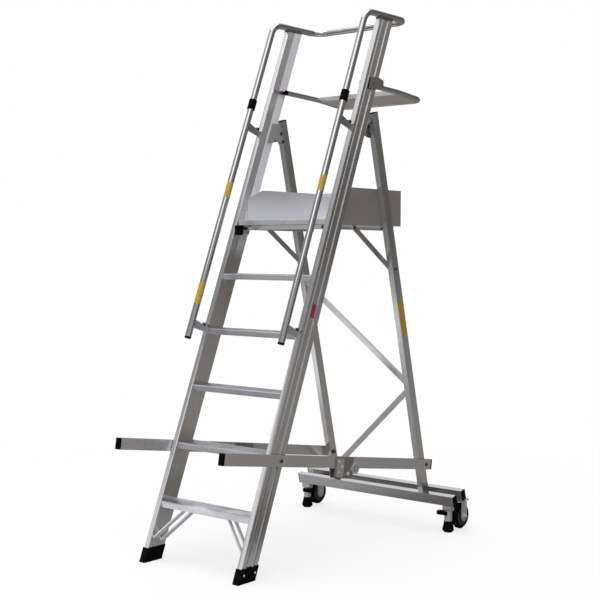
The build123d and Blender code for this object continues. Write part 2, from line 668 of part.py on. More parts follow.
def deck_struts():
    """Flat bar from the right deck beam to the leg, and the plate that holds the beam on the stile."""
    foot = (leg_middle(STRUT_LEG_Z), STRUT_LEG_Z)
    head = (STRUT_BEAM_Y, DECK_UNDER - FIT - STRUT_WIDTH / 2)
    band = strip(foot, head, STRUT_WIDTH)
    for end in (foot, head):
        band += Pos(*end) * Circle(STRUT_WIDTH / 2)
    low = BEAM_UNDER - BEAM_HEIGHT
    high = DECK_UNDER - FIT
    plate = Polygon((BEAM_FRONT, BEAM_UNDER), (stile_rear(low), low), (stile_rear(high), high),
                    (BEAM_FRONT, high), align=None)
    plane = side_plane(INNER_X - FIT - STRUT_PLATE)
    return Compound(children=[extrude(plane * band, STRUT_PLATE), extrude(plane * plate, STRUT_PLATE)])


def toe_board():
    """Toe board along the right edge of the deck, its front corner cut back."""
    top = DECK_LEVEL + BOARD_RISE
    outline = Polygon((BOARD_FRONT, DECK_UNDER), (DECK_REAR, DECK_UNDER), (DECK_REAR, top),
                      (BOARD_CHAMFER_Y, top), (BOARD_FRONT, BOARD_CHAMFER_LOW), align=None)
    return extrude(side_plane(INNER_X - FIT - BOARD_PLATE) * outline, BOARD_PLATE)


def toe_board_rear():
    """Toe board across the back of the deck."""
    height = DECK_LEVEL + BOARD_RISE - DECK_UNDER
    return Pos(0, DECK_REAR, DECK_UNDER) * Box(
        2 * (INNER_X - FIT), BOARD_PLATE, height, align=(Align.CENTER, Align.MIN, Align.MIN))


def handrail_point(z):
    """Point of the right handrail's centre line at height z."""
    return (STILE_X, handrail_y(z), z)


def handrail():
    """Lower length of the right handrail."""
    path = Line(handrail_point(HANDRAIL_FOOT), handrail_point(HANDRAIL_JOINT))
    return round_tube(path, RAIL_DIAMETER, RAIL_WALL)


def handrail_plugs():
    """Plug in the lower end of the right handrail and in the front end of the knee rail."""
    plane = Plane(handrail_point(HANDRAIL_FOOT), z_dir=(0, LEAN_SIN, LEAN_COS))
    foot = extrude(plane * Circle(RAIL_DIAMETER / 2), -RAIL_PLUG)
    fall = KNEE_RAIL_KINK[1] - KNEE_RAIL_FRONT[1]
    line = Plane((KNEE_RAIL_X, *KNEE_RAIL_FRONT), z_dir=(0, KNEE_RAIL_KINK[0] - KNEE_RAIL_FRONT[0], fall))
    return Compound(children=[foot, extrude(line * Circle(KNEE_RAIL_DIAMETER / 2), -RAIL_PLUG)])


def rail_sleeves():
    """Sleeve round the joint of the right handrail and the guard rail."""
    plane = Plane(handrail_point(HANDRAIL_JOINT), z_dir=(0, LEAN_SIN, LEAN_COS))
    ring = Circle(RAIL_DIAMETER / 2 + FIT + SLEEVE_WALL) - Circle(RAIL_DIAMETER / 2 + FIT)
    return extrude(plane * ring, SLEEVE_LENGTH / 2, both=True)


def guard_rail():
    """Guard rail: up from both handrails, back over the stiles and across behind the deck."""
    corner = handrail_point(RAIL_LEVEL)
    right = [handrail_point(HANDRAIL_JOINT + FIT), corner, (STILE_X, RAIL_REAR, RAIL_LEVEL)]
    left = [(-x, y, z) for x, y, z in reversed(right)]
    return round_tube(FilletPolyline(*right, *left, radius=RAIL_BEND), RAIL_DIAMETER, RAIL_WALL)


def rail_saddles():
    """Saddle between the right stile's top and the guard rail."""
    front = stile_front(STILE_TOP)
    block = Pos(STILE_X, front, STILE_TOP) * Box(
        STILE_WIDTH, STILE_RUN, SADDLE_HEIGHT, align=(Align.CENTER, Align.MIN, Align.MIN))
    hollow = Pos(STILE_X, front, RAIL_LEVEL) * Rot(90, 0, 0) * Cylinder(RAIL_DIAMETER / 2 + FIT, FAR)
    return block - hollow


def handrail_brackets():
    """Plates from the right stile's front edge to the handrail."""
    plates = []
    for z in BRACKET_HEIGHTS:
        plane = Plane((STILE_X - BRACKET_PLATE / 2, stile_front(z), z),
                      x_dir=(0, -LEAN_COS, LEAN_SIN), z_dir=(1, 0, 0))
        wide = BRACKET_RAIL_WIDTH / 2
        narrow = BRACKET_STILE_WIDTH / 2
        outline = Polygon((0, -narrow), (RAIL_OFFSET, -wide), (RAIL_OFFSET, wide), (0, narrow), align=None)
        plate = extrude(plane * outline, BRACKET_PLATE)
        rail = Plane(handrail_point(z), z_dir=(0, LEAN_SIN, LEAN_COS))
        plates.append(plate - extrude(rail * Circle(RAIL_DIAMETER / 2 + FIT), 2 * RAIL_OFFSET, both=True))
    return Compound(children=plates)


KNEE_RAIL_FRONT = (stile_rear(KNEE_RAIL_LEVEL) - KNEE_RAIL_LAP, KNEE_RAIL_LEVEL)


def knee_rail():
    """Knee rail: back from the stiles, down to the tray and across behind it."""
    places = (KNEE_RAIL_FRONT, KNEE_RAIL_KINK, KNEE_RAIL_REAR)
    right = [(KNEE_RAIL_X, *place) for place in places]
    left = [(-x, y, z) for x, y, z in reversed(right)]
    path = FilletPolyline(*right, *left, radius=KNEE_RAIL_BEND)
    return round_tube(path, KNEE_RAIL_DIAMETER, KNEE_RAIL_WALL)


def knee_rail_clamps():
    """Plate between the right stile's inner face and the knee rail's end."""
    rear = stile_rear(KNEE_RAIL_LEVEL - CLAMP_HEIGHT / 2)
    return Pos(INNER_X - FIT, rear, KNEE_RAIL_LEVEL) * Box(
        CLAMP_PLATE, CLAMP_LENGTH, CLAMP_HEIGHT, align=(Align.MAX, Align.MAX, Align.CENTER))


def knee_rail_latch():
    """Tapered block behind the right stile with a cheek on its outer face and a bore for the knee rail."""
    low = KNEE_RAIL_LEVEL - LATCH_HEIGHT / 2
    high = KNEE_RAIL_LEVEL + LATCH_HEIGHT / 2
    front = ((stile_rear(high) + FIT, high), (stile_rear(low) + FIT, low))
    rear = stile_rear(KNEE_RAIL_LEVEL) + LATCH_REACH
    tail = ((rear, KNEE_RAIL_LEVEL - LATCH_TAIL / 2), (rear, KNEE_RAIL_LEVEL + LATCH_TAIL / 2))
    cheek = ((stile_rear(high) - LATCH_LAP, high), (stile_rear(low) - LATCH_LAP, low))
    inner_x = KNEE_RAIL_X - KNEE_RAIL_DIAMETER / 2 - LATCH_WALL
    outer_x = OUTER_X + FIT
    block = extrude(side_plane(inner_x) * Polygon(*front, *tail, align=None), outer_x + LATCH_WALL - inner_x)
    block += extrude(side_plane(outer_x) * Polygon(*cheek, *reversed(front), align=None), LATCH_WALL)
    fall = (KNEE_RAIL_KINK[1] - KNEE_RAIL_FRONT[1]) / (KNEE_RAIL_KINK[0] - KNEE_RAIL_FRONT[0])
    line = Plane((KNEE_RAIL_X, *KNEE_RAIL_FRONT), z_dir=(0, 1, fall))
    return block - extrude(line * Circle(KNEE_RAIL_DIAMETER / 2 + FIT), FAR / 2, both=True)


def tray():
    """Open tray between the knee rail's arms."""
    run = KNEE_RAIL_REAR[0] - KNEE_RAIL_KINK[0]
    drop = KNEE_RAIL_REAR[1] - KNEE_RAIL_KINK[1]
    length = hypot(run, drop) - KNEE_RAIL_DIAMETER / 2 - FIT
    width = 2 * (KNEE_RAIL_X - KNEE_RAIL_DIAMETER / 2 - FIT)
    plane = Plane((0, *KNEE_RAIL_KINK), x_dir=(1, 0, 0), z_dir=(0, -drop, run)).offset(-TRAY_BELOW)
    outline = Pos(0, length / 2) * Rectangle(width, length)
    corner = KNEE_RAIL_BEND - KNEE_RAIL_DIAMETER / 2 - FIT
    outline = fillet(outline.vertices().group_by(Axis.Y)[-1], corner)
    inside = offset(outline, -TRAY_PLATE, kind=Kind.INTERSECTION)
    return extrude(plane * outline, TRAY_LIP) - extrude(plane.offset(TRAY_PLATE) * inside, TRAY_LIP)


# Pieces of the right side that have a node of their own on each side
SIDE_PIECES = (stile, shoe, leg, foot_pad, tyre, hub, fork, lift_bar_front, lift_bar_rear, knuckle,
               deck_beam, toe_board, handrail)
# Small pieces of the right side whose node also holds their likes on the left
PAIRED_PIECES = (knee_braces, leg_caps, hinge_brackets, base_caps, foot_plates, foot_spindles,
                 foot_pedals, axles, lift_bar_caps, knuckle_knobs, deck_struts, handrail_plugs,
                 rail_sleeves, rail_saddles, handrail_brackets, knee_rail_clamps)


def build():
    """All pieces by name, those of the right side also mirrored to the left."""
    pieces = {
        "deck": deck(),
        "deck_beam_front": deck_beam_front(),
        "deck_blocks": deck_blocks(),
        "tread_brackets": tread_brackets(),
        "toe_board_rear": toe_board_rear(),
        "base_tube_front": base_tube(-1),
        "base_tube_rear": base_tube(1),
        "guard_rail": guard_rail(),
        "knee_rail": knee_rail(),
        "knee_rail_latch": knee_rail_latch(),
        "tray": tray(),
    }
    for number in range(1, TREAD_COUNT + 1):
        pieces[f"tread_{number}"] = tread(number)
    for name, left_z, right_z in REAR_BRACES:
        pieces[name] = rear_brace(left_z, right_z)
    for make in SIDE_PIECES:
        piece = make()
        pieces[f"{make.__name__}_right"] = piece
        pieces[f"{make.__name__}_left"] = mirror(piece, about=Plane.YZ)
    for make in PAIRED_PIECES:
        right = make().solids()
        left = [mirror(solid, about=Plane.YZ) for solid in right]
        pieces[make.__name__] = Compound(children=[*right, *left])
    return pieces


def middle_y():
    """Middle of the ladder's length, between the lift bars' tips and the tyres."""
    tip = BAR_START[0] - (BAR_FRONT_REACH + BAR_CAP) * cos(BAR_FALL) - BAR_HEIGHT / 2 * sin(BAR_FALL)
    return (tip + WHEEL_Y + WHEEL_RADIUS) / 2


if __name__ == "__main__":
    os.makedirs("parts", exist_ok=True)
    to_middle = Pos(0, -middle_y(), 0)
    for node, solid in build().items():
        export_step(to_middle * solid, f"parts/{node}.step")
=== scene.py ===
"""Looks of the mobile platform ladder, laid out as an add-on.

Finishes, fasteners, sticker bands and the studio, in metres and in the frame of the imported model: +X is the
climber's right, +Y leads away from the climber, +Z is up.
"""
import json
import math

import bmesh
import bpy
import numpy as np
from bpy.props import FloatProperty, FloatVectorProperty, PointerProperty
from mathutils import Matrix, Vector


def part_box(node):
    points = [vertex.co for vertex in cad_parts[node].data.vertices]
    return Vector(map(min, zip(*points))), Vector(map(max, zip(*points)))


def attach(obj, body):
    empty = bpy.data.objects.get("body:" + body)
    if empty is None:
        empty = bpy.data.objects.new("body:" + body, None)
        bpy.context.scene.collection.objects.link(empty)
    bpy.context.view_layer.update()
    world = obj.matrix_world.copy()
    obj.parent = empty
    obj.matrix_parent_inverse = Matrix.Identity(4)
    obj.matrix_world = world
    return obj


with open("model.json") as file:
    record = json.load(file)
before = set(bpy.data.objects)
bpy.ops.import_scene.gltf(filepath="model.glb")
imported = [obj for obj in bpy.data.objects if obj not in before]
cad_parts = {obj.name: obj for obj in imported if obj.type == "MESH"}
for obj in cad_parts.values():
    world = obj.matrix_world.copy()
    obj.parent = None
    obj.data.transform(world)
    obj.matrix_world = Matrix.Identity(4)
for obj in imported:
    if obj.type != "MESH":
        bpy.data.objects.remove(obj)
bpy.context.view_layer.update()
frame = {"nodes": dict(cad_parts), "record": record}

bl_info = {
    "name": "Mobile platform ladder",
    "version": (1, 0, 0),
    "blender": (4, 5, 0),
    "location": "3D View > Sidebar > Ladder",
    "description": "Finishes, fasteners, sticker bands and studio of the mobile platform ladder",
    "category": "Object",
}

NODES = frame["nodes"]
SIDES = (("left", -1), ("right", 1))
SIDEWAYS = Vector((1, 0, 0))
AHEAD = Vector((0, 1, 0))
UPWARD = Vector((0, 0, 1))
SLOT_OF = {part["node"]: part["material_slot"] for part in frame["record"]["subparts"]}


# Places read from the frame

def middle_of(node):
    """Middle of a node's box."""
    low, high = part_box(node)
    return (low + high) / 2


def face_x(node, sign):
    """X of a node's outermost face on the side of that sign."""
    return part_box(node)[1].x if sign > 0 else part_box(node)[0].x


class Bar:
    """Straight bar: its middle, its direction, and its depth across that, seen from the side."""

    def __init__(self, node):
        points = np.array([vertex.co for vertex in NODES[node].data.vertices])
        self.middle = middle_of(node)
        axis = np.linalg.svd(points - points.mean(axis=0), full_matrices=False)[2][0]
        self.along = Vector(axis if axis[2] > 0 else -axis)
        self.across = Vector((0, self.along.z, -self.along.y))
        reach = points @ np.array(self.across)
        self.depth = reach.max() - reach.min()

    def at(self, z, share=0.5):
        """Point about a height up, by its share of the depth from the front edge."""
        climb = self.along * ((z - self.middle.z) / self.along.z)
        return self.middle + climb + self.across * ((share - 0.5) * self.depth)


def crossing(first, second):
    """Y and Z where the middle lines of two bars cross, seen from the side."""
    first, second = Bar(first), Bar(second)
    gap = second.middle - first.middle
    along, other = first.along, second.along
    reach = (gap.y * other.z - gap.z * other.y) / (along.y * other.z - along.z * other.y)
    point = first.middle + along * reach
    return point.y, point.z


# Shader maths

class Value:
    """A node's output that can stand in a Python expression."""

    def __init__(self, tree, socket):
        self.tree = tree
        self.socket = socket

    def math(self, operation, first, second):
        return self.tree.node("ShaderNodeMath", {"operation": operation}, {0: first, 1: second})

    def __add__(self, other):
        return self.math("ADD", self, other)

    def __radd__(self, other):
        return self.math("ADD", other, self)

    def __sub__(self, other):
        return self.math("SUBTRACT", self, other)

    def __rsub__(self, other):
        return self.math("SUBTRACT", other, self)

    def __mul__(self, other):
        return self.math("MULTIPLY", self, other)

    def __rmul__(self, other):
        return self.math("MULTIPLY", other, self)


class Tree:
    """Node tree of a material or of the world, emptied and filled again."""

    def __init__(self, owner):
        owner.use_nodes = True
        self.owner = owner
        self.nodes = owner.node_tree.nodes
        self.links = owner.node_tree.links
        self.nodes.clear()

    def node(self, kind, settings=None, sockets=None, output=0):
        """Adds a node: its settings first, then the values or links of its sockets."""
        made = self.nodes.new(kind)
        for name, value in (settings or {}).items():
            setattr(made, name, value)
        for name, value in (sockets or {}).items():
            if isinstance(value, Value):
                self.links.new(value.socket, made.inputs[name])
            else:
                made.inputs[name].default_value = value
        return Value(self, made.outputs[output]) if made.outputs else None

    def place(self):
        """Place on the piece, in metres, which moves with it."""
        return self.node("ShaderNodeTexCoord", output="Object")

    def height(self):
        """Height of the place on the piece."""
        return self.node("ShaderNodeSeparateXYZ", None, {"Vector": self.place()}, "Z")

    def vectors(self, operation, *vectors, output="Vector"):
        """Maths on one or two vectors."""
        return self.node("ShaderNodeVectorMath", {"operation": operation}, dict(enumerate(vectors)), output)

    def reach(self, vector, direction):
        """How far a vector leads along a direction."""
        return self.vectors("DOT_PRODUCT", vector, direction, output="Value")

    def ray(self, kind):
        """1 for rays of a kind, 0 for the others."""
        return self.node("ShaderNodeLightPath", output=f"Is {kind} Ray")

    def drawn_out(self, along, slow, fast):
        """Place on the piece, with few cycles per metre along a direction and many across it."""
        turn = Vector(along).to_track_quat("X", "Z").to_euler()
        return self.node("ShaderNodeMapping", {"vector_type": "TEXTURE"},
                         {"Vector": self.place(), "Rotation": turn, "Scale": (1 / slow, 1 / fast, 1 / fast)})

    def noise(self, place, scale=1.0, detail=2.0, roughness=0.5):
        """Soft random value from 0 to 1."""
        return self.node("ShaderNodeTexNoise", None,
                         {"Vector": place, "Scale": scale, "Detail": detail, "Roughness": roughness})

    def step(self, value, low, high):
        """Smooth rise from 0 at low to 1 at high."""
        return self.node("ShaderNodeMapRange", {"interpolation_type": "SMOOTHSTEP"},
                         {"Value": value, "From Min": low, "From Max": high})

    def mix(self, factor, first, second):
        """Colour between two colours."""
        return self.node("ShaderNodeMix", {"data_type": "RGBA"}, {0: factor, 6: first, 7: second}, 2)

    def bump(self, height, depth):
        """Normal of a surface that is raised by a height from 0 to 1."""
        sockets = {"Height": height, "Distance": depth, "Strength": 1.0}
        return self.node("ShaderNodeBump", None, sockets, "Normal")

    def surface(self, **sockets):
        """Ends a material in one shader, whose sockets are named with underscores, and returns it."""
        named = {name.replace("_", " "): value for name, value in sockets.items()}
        shader = self.node("ShaderNodeBsdfPrincipled", None, named)
        self.node("ShaderNodeOutputMaterial", None, {"Surface": shader})
        return self.owner


def material_tree(name):
    """Tree of a new material."""
    return Tree(bpy.data.materials.new(name))


def shade(colour, factor=1.0):
    """Opaque colour, lighter or darker by a factor."""
    return (*(min(1.0, part * factor) for part in colour), 1.0)


# Where a finish isn't even all over, mostly where light and shade are painted into it: each gives, for a
# tree, a value from 0 to 1

# Place times normal, from faces that look fully to the ladder's middle to those that don't
INWARD_FACES = (-0.12, -0.04)
# Half the width of a soft edge along a bar
BAR_EDGE = 0.0012
# Ribs of a stile's outer face: start and end as shares of its depth
STILE_RIBS = ((0.21, 0.28), (0.66, 0.73))
# Levels between which the ribs go from painted shade to a painted highlight
RIB_SHADE_TO_HIGHLIGHT = (0.35, 0.75)
# Share of a stile's depth behind which the painted sheen on its inner face is strongest
STILE_SHEEN_SHARE = 0.45
# Depth below the top of a deck side beam at which the painted highlight along its lip starts and is full
BEAM_HIGHLIGHT_BAND = (0.0105, 0.0075)
# Height of the toe boards' upper part, where their painted sheen is weaker
BOARD_UPPER = 0.14
# Levels between the lowest tread and the next one, over which its painted reflection fades
LOWEST_TREAD_END = (0.3, 0.4)
# Levels from hip height up to where the handrail brackets are no longer paler
HIP_END = (1.1, 1.5)


def inward(tree):
    """1 on faces that look to the ladder's middle, 0 on the others."""
    level = tree.vectors("MULTIPLY", tree.place(), (1, 1, 0))
    normal = tree.node("ShaderNodeTexCoord", output="Normal")
    return 1 - tree.step(tree.reach(level, normal), *INWARD_FACES)


def behind(tree, bar, share):
    """1 on the part of a bar behind a share of its depth, 0 in front of it."""
    edge = bar.middle.dot(bar.across) + (share - 0.5) * bar.depth
    return tree.step(tree.reach(tree.place(), bar.across), edge - BAR_EDGE, edge + BAR_EDGE)


def stile_ribs(tree):
    """1 on the two ribs of a stile's outer face, 0 elsewhere."""
    bar = Bar("stile_right")
    ribs = 0.0
    for start, end in STILE_RIBS:
        ribs = ribs + behind(tree, bar, start) * (1 - behind(tree, bar, end))
    return ribs * (1 - inward(tree))


def rib_painted_highlight(tree):
    """Ribs above the first treads, painted bright as a highlight where their edges catch the light."""
    return stile_ribs(tree) * tree.step(tree.height(), *RIB_SHADE_TO_HIGHLIGHT)


def rib_painted_shade(tree):
    """Ribs near the floor, painted darker as shade that dulls the highlights their edges catch."""
    return stile_ribs(tree) * (1 - tree.step(tree.height(), *RIB_SHADE_TO_HIGHLIGHT)) * 0.7


def stile_painted_sheen(tree):
    """Painted sheen on a stile's inner face from the top tread up, most on its rear part: paleness that
    stands in for the light it reflects.
    """
    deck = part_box("deck")[1].z
    height = tree.height()
    above = tree.step(height, deck - 0.2, deck - 0.1) * 0.75 + tree.step(height, deck, deck + 0.05) * 0.35
    rear = behind(tree, Bar("stile_right"), STILE_SHEEN_SHARE)
    return inward(tree) * (0.3 + rear * 0.7) * above


def board_painted_sheen(tree):
    """Painted sheen on the toe boards' inner faces: uneven paleness that stands in for light reflected from
    the deck, most near the deck.
    """
    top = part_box("toe_board_left")[1].z
    upper = tree.step(tree.height(), top - BOARD_UPPER, top)
    sheen_patches = tree.noise(tree.drawn_out(AHEAD, slow=2.5, fast=9.0), detail=3.0)
    return inward(tree) * (1.24 - upper * 0.5 - sheen_patches * 0.45)


def beam_painted_highlight(tree):
    """Painted highlight along the top of a deck side beam, where its lip catches the light, over fainter
    painted sheen on the rest of it.
    """
    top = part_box("deck_beam_right")[1].z
    start, full = BEAM_HIGHLIGHT_BAND
    return tree.step(tree.height(), top - start, top - full) * 0.65 + 0.25


def bar_painted_sheen(tree):
    """Faint painted sheen on a lift bar's inner face: paleness that stands in for reflected light."""
    return inward(tree) * 0.22


def lowest_tread_painted_reflection(tree):
    """Patchy painted reflection on the lowest tread: pale patches that stand in for the bright reflections it
    shows.
    """
    patches = tree.noise(tree.drawn_out(SIDEWAYS, slow=6.0, fast=14.0), detail=3.0)
    return (1 - tree.step(tree.height(), *LOWEST_TREAD_END)) * tree.step(patches, 0.3, 0.7) * 0.75


def paler_tone(tree):
    """Even paleness of thin bars: a painted highlight that stands in for the glint they catch."""
    return 0.65


def hip_height(tree):
    """1 on pieces at hip height and lower, 0 well above."""
    return 1 - tree.step(tree.height(), *HIP_END)


# Extrusions with painted sheen, highlights or shade on parts of them
EXTRUSION_MASKS = {
    "stile": {"pale": stile_painted_sheen, "wear_and_highlight": rib_painted_highlight, "painted_shade": rib_painted_shade},
    "knee_braces": {"pale": paler_tone},
    "lift_bar_front": {"pale": bar_painted_sheen},
    "deck_beam": {"pale": beam_painted_highlight},
}


# Finishes

# Painted sheen: pale matt skin that stands in for reflected light on aluminium, in its darker and its lighter
# patches
PAINTED_SHEEN_SKIN = ((0.82, 0.82, 0.88, 1.0), (0.92, 0.92, 0.97, 1.0))
# Dust on plastic and rubber
DUST = (0.07, 0.068, 0.066, 1.0)
# Extrusions whose edges are rounded
SOFTENED = ("stile", "leg", "base_tube_front", "base_tube_rear", "lift_bar_front", "lift_bar_rear")
# Edges sharper than this are rounded
ROUNDED_ANGLE = math.radians(40)
# Points closer than this are joined before the rounding
WELD_GAP = 1e-5


def aluminium(name, colour, roughness, along, die_lines=1.0, smudges=1.0, pale=None, wear_and_highlight=None, painted_shade=None):
    """Bare metal with die lines along its length, cloudy handling marks and a fine drawn grain.

    pale, and the two masks after it, say where the skin is painted pale and matt as sheen, painted bright as
    a highlight and painted darker as shade.
    """
    tree = material_tree(name)
    grain = tree.noise(tree.drawn_out(along, slow=3.0, fast=900.0), detail=3.0)
    lines = tree.noise(tree.drawn_out(along, slow=0.35, fast=130.0))
    clouds = tree.noise(tree.place(), scale=9.0, detail=4.0, roughness=0.6)
    tone = 0.5 + (lines - 0.5) * (0.9 * die_lines) + (clouds - 0.5) * (0.6 * smudges)
    dull = roughness + (clouds - 0.5) * (0.14 * smudges) + (lines - 0.5) * (0.1 * die_lines)
    skin = tree.mix(tone, shade(colour, 0.82), shade(colour, 1.16))
    metallic = 1.0
    # Painted highlight: lighter skin where that mask is high
    if wear_and_highlight:
        skin = tree.mix(wear_and_highlight(tree), skin, shade(colour, 1.15))
    # Painted shade: darker skin where that mask is high
    if painted_shade:
        skin = tree.mix(painted_shade(tree), skin, shade(colour, 0.3))
    # Painted sheen: pale, less metallic skin where that mask is high
    if pale:
        matt = pale(tree)
        skin = tree.mix(matt, skin, tree.mix(tone, *PAINTED_SHEEN_SKIN))
        metallic = 1 - matt * 0.85
    return tree.surface(
        Base_Color=skin,
        Metallic=metallic,
        Roughness=dull + (grain - 0.5) * 0.06,
        Normal=tree.bump(grain * 0.6 + lines * 0.4, 0.00012 * die_lines),
    )


def cast_grey(name, colour, pale_colour=None, pale=None):
    """Dark grey bracket metal with a slightly pitted skin and rubbed high spots.

    pale says where it has a paler colour.
    """
    tree = material_tree(name)
    pits = tree.noise(tree.place(), scale=900.0)
    rubbed = tree.step(tree.noise(tree.place(), scale=60.0, detail=5.0, roughness=0.7), 0.52, 0.72)
    skin = tree.mix(rubbed, shade(colour), shade(colour, 1.9))
    if pale:
        skin = tree.mix(pale(tree), skin, tree.mix(rubbed, shade(pale_colour), shade(pale_colour, 1.2)))
    return tree.surface(
        Base_Color=skin,
        Metallic=0.55,
        Roughness=0.46 - rubbed * 0.12 + (pits - 0.5) * 0.1,
        Normal=tree.bump(pits, 0.0002),
    )


def zinc_plate(name, colour):
    """Zinc-plated steel: faintly clouded, with a bluish and yellowish cast."""
    tree = material_tree(name)
    clouds = tree.noise(tree.place(), scale=70.0, detail=3.0)
    red, green, blue = colour
    bluish = (red * 0.97, green, blue * 1.06)
    yellowish = (red * 1.05, green * 1.01, blue * 0.9)
    return tree.surface(
        Base_Color=tree.mix(clouds, shade(bluish, 0.95), shade(yellowish, 1.1)),
        Metallic=0.4,
        Roughness=0.3 + clouds * 0.2,
        Normal=tree.bump(tree.noise(tree.place(), scale=500.0), 0.00015),
    )


def moulded(name, colour, roughness, grain, dust):
    """Moulded plastic or rubber: fine grain, scuffs, and dust that dulls it in patches."""
    tree = material_tree(name)
    pores = tree.noise(tree.place(), scale=grain)
    scuffs = tree.step(tree.noise(tree.place(), scale=45.0, detail=6.0, roughness=0.7), 0.5, 0.75)
    return tree.surface(
        Base_Color=tree.mix(scuffs * dust, shade(colour), DUST),
        Roughness=roughness + scuffs * 0.15 + (pores - 0.5) * 0.12,
        Normal=tree.bump(pores, 0.0003),
        Specular_IOR_Level=0.03,
    )


def vinyl(name, colour):
    """Printed film, plain, a little faded and creased."""
    tree = material_tree(name)
    faded = tree.noise(tree.place(), scale=35.0, detail=3.0)
    creases = tree.noise(tree.place(), scale=160.0)
    return tree.surface(
        Base_Color=tree.mix(faded, shade(colour, 0.85), shade(colour, 1.1)),
        Roughness=0.34 + faded * 0.14,
        Normal=tree.bump(creases, 0.0002),
        Coat_Weight=0.15,
    )


def nodes_of(slot):
    """Names of the nodes that share one of the record's material slots."""
    nodes = sorted(node for node, own in SLOT_OF.items() if own == slot)
    if not nodes:
        raise RuntimeError(f"no node has the slot {slot}")
    return nodes


def dress(material, *nodes):
    """Gives CAD nodes their finish."""
    for node in nodes:
        materials = NODES[node].data.materials
        materials.clear()
        materials.append(material)


def soften(node, width):
    """Rounds a node's sharp edges a little, so that they catch the light."""
    piece = NODES[node]
    weld = piece.modifiers.new("Weld", "WELD")
    weld.merge_threshold = WELD_GAP
    bevel = piece.modifiers.new("Edges", "BEVEL")
    bevel.width = width
    bevel.segments = 2
    bevel.limit_method = "ANGLE"
    bevel.angle_limit = ROUNDED_ANGLE
    bevel.harden_normals = True


# Small pieces

# Points round a bolt, nut, rivet or pin, and round a rail's sticker band
BOLT_STEPS = 24
BAND_STEPS = 48
# Edges of small pieces sharper than this show as edges
CREASE_ANGLE = math.radians(35)
# Marks a six-sided ring in the profile of a turned shape
SIX = "six-sided"


class Mesh:
    """A mesh that is put together from turned and flat shapes."""

    def __init__(self, name):
        self.name = name
        self.form = bmesh.new()

    def bridge(self, low, high):
        """Faces between two rings of points, either of which may be a single point."""
        count = max(len(low), len(high))
        for index in range(count):
            after = (index + 1) % count
            below = [low[index % len(low)], low[after % len(low)]]
            above = [high[after % len(high)], high[index % len(high)]]
            self.form.faces.new(list(dict.fromkeys(below + above)))

    def turned(self, place, profile, steps=BOLT_STEPS, hollow=False):
        """Solid turned about its own Z, from rows of radius, height and the mark of a six-sided ring."""
        rings = []
        for radius, height, *six_sided in profile:
            if radius == 0:
                rings.append([self.form.verts.new(place @ Vector((0, 0, height)))])
                continue
            ring = []
            for index in range(steps):
                angle = 2 * math.pi * index / steps
                flat = (angle + math.pi / 6) % (math.pi / 3) - math.pi / 6
                reach = radius / math.cos(flat) if six_sided else radius
                point = Vector((reach * math.cos(angle), reach * math.sin(angle), height))
                ring.append(self.form.verts.new(place @ point))
            rings.append(ring)
        for low, high in zip(rings, rings[1:]):
            self.bridge(low, high)
        if hollow:
            self.bridge(rings[-1], rings[0])

    def prism(self, outline, lift):
        """Flat plate from a ring of points, as thick as the lift vector."""
        low = [self.form.verts.new(point) for point in outline]
        high = [self.form.verts.new(point + lift) for point in outline]
        self.bridge(low, high)
        self.form.faces.new(list(reversed(low)))
        self.form.faces.new(high)

    def finish(self, body, slot, material):
        """Makes the object, which rides on a body and takes the given material as its finish; slot is not
        used.
        """
        bmesh.ops.recalc_face_normals(self.form, faces=self.form.faces)
        data = bpy.data.meshes.new(self.name)
        self.form.to_mesh(data)
        self.form.free()
        piece = bpy.data.objects.new(self.name, data)
        bpy.context.scene.collection.objects.link(piece)
        data.materials.append(material)
        for face in data.polygons:
            face.use_smooth = True
        data.set_sharp_from_angle(angle=CREASE_ANGLE)
        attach(piece, body)


def facing(point, normal):
    """Placement whose Z leads out of a face."""
    return Matrix.Translation(point) @ Vector(normal).to_track_quat("Z", "Y").to_matrix().to_4x4()


def hex_bolt(mesh, point, normal, head):
    """Hexagon head on a washer, about as high as such heads are."""
    washer, thick, height = head * 0.62, head * 0.1, head * 0.42
    mesh.turned(facing(point, normal), (
        (0, 0), (washer, 0), (washer, thick), (head * 0.5, thick, SIX),
        (head * 0.5, thick + height * 0.82, SIX), (head * 0.47, thick + height), (0, thick + height),
    ))


def button_bolt(mesh, point, normal, head):
    """Low round head with a six-sided socket."""
    radius, height = head / 2, head * 0.3
    mesh.turned(facing(point, normal), (
        (0, 0), (radius, 0), (radius, height * 0.25), (radius * 0.9, height * 0.6),
        (radius * 0.7, height * 0.9), (radius * 0.5, height), (radius * 0.4, height, SIX),
        (radius * 0.4, height * 0.35, SIX), (0, height * 0.3),
    ))


def rivet(mesh, point, normal, head):
    """Domed head with the small pit that its broken stem leaves."""
    radius, height = head / 2, head * 0.22
    mesh.turned(facing(point, normal), (
        (0, 0), (radius, 0), (radius * 0.97, height * 0.3), (radius * 0.8, height * 0.75),
        (radius * 0.5, height), (radius * 0.22, height), (radius * 0.2, height * 0.6), (0, height * 0.6),
    ))


def nut(mesh, point, normal, across):
    """Hexagon nut with a rounded end of its bolt showing."""
    height, stem = across * 0.45, across * 0.28
    mesh.turned(facing(point, normal), (
        (0, 0), (across * 0.5, 0, SIX), (across * 0.5, height * 0.85, SIX), (across * 0.46, height),
        (stem, height), (stem, height * 1.3), (stem * 0.7, height * 1.45), (0, height * 1.45),
    ))


def stud(mesh, point, normal, width, length):
    """Round pin with a neck and a head."""
    radius = width / 2
    mesh.turned(facing(point, normal), (
        (0, 0), (radius * 0.6, 0), (radius * 0.6, length * 0.35), (radius, length * 0.42),
        (radius, length * 0.88), (radius * 0.85, length), (0, length),
    ))


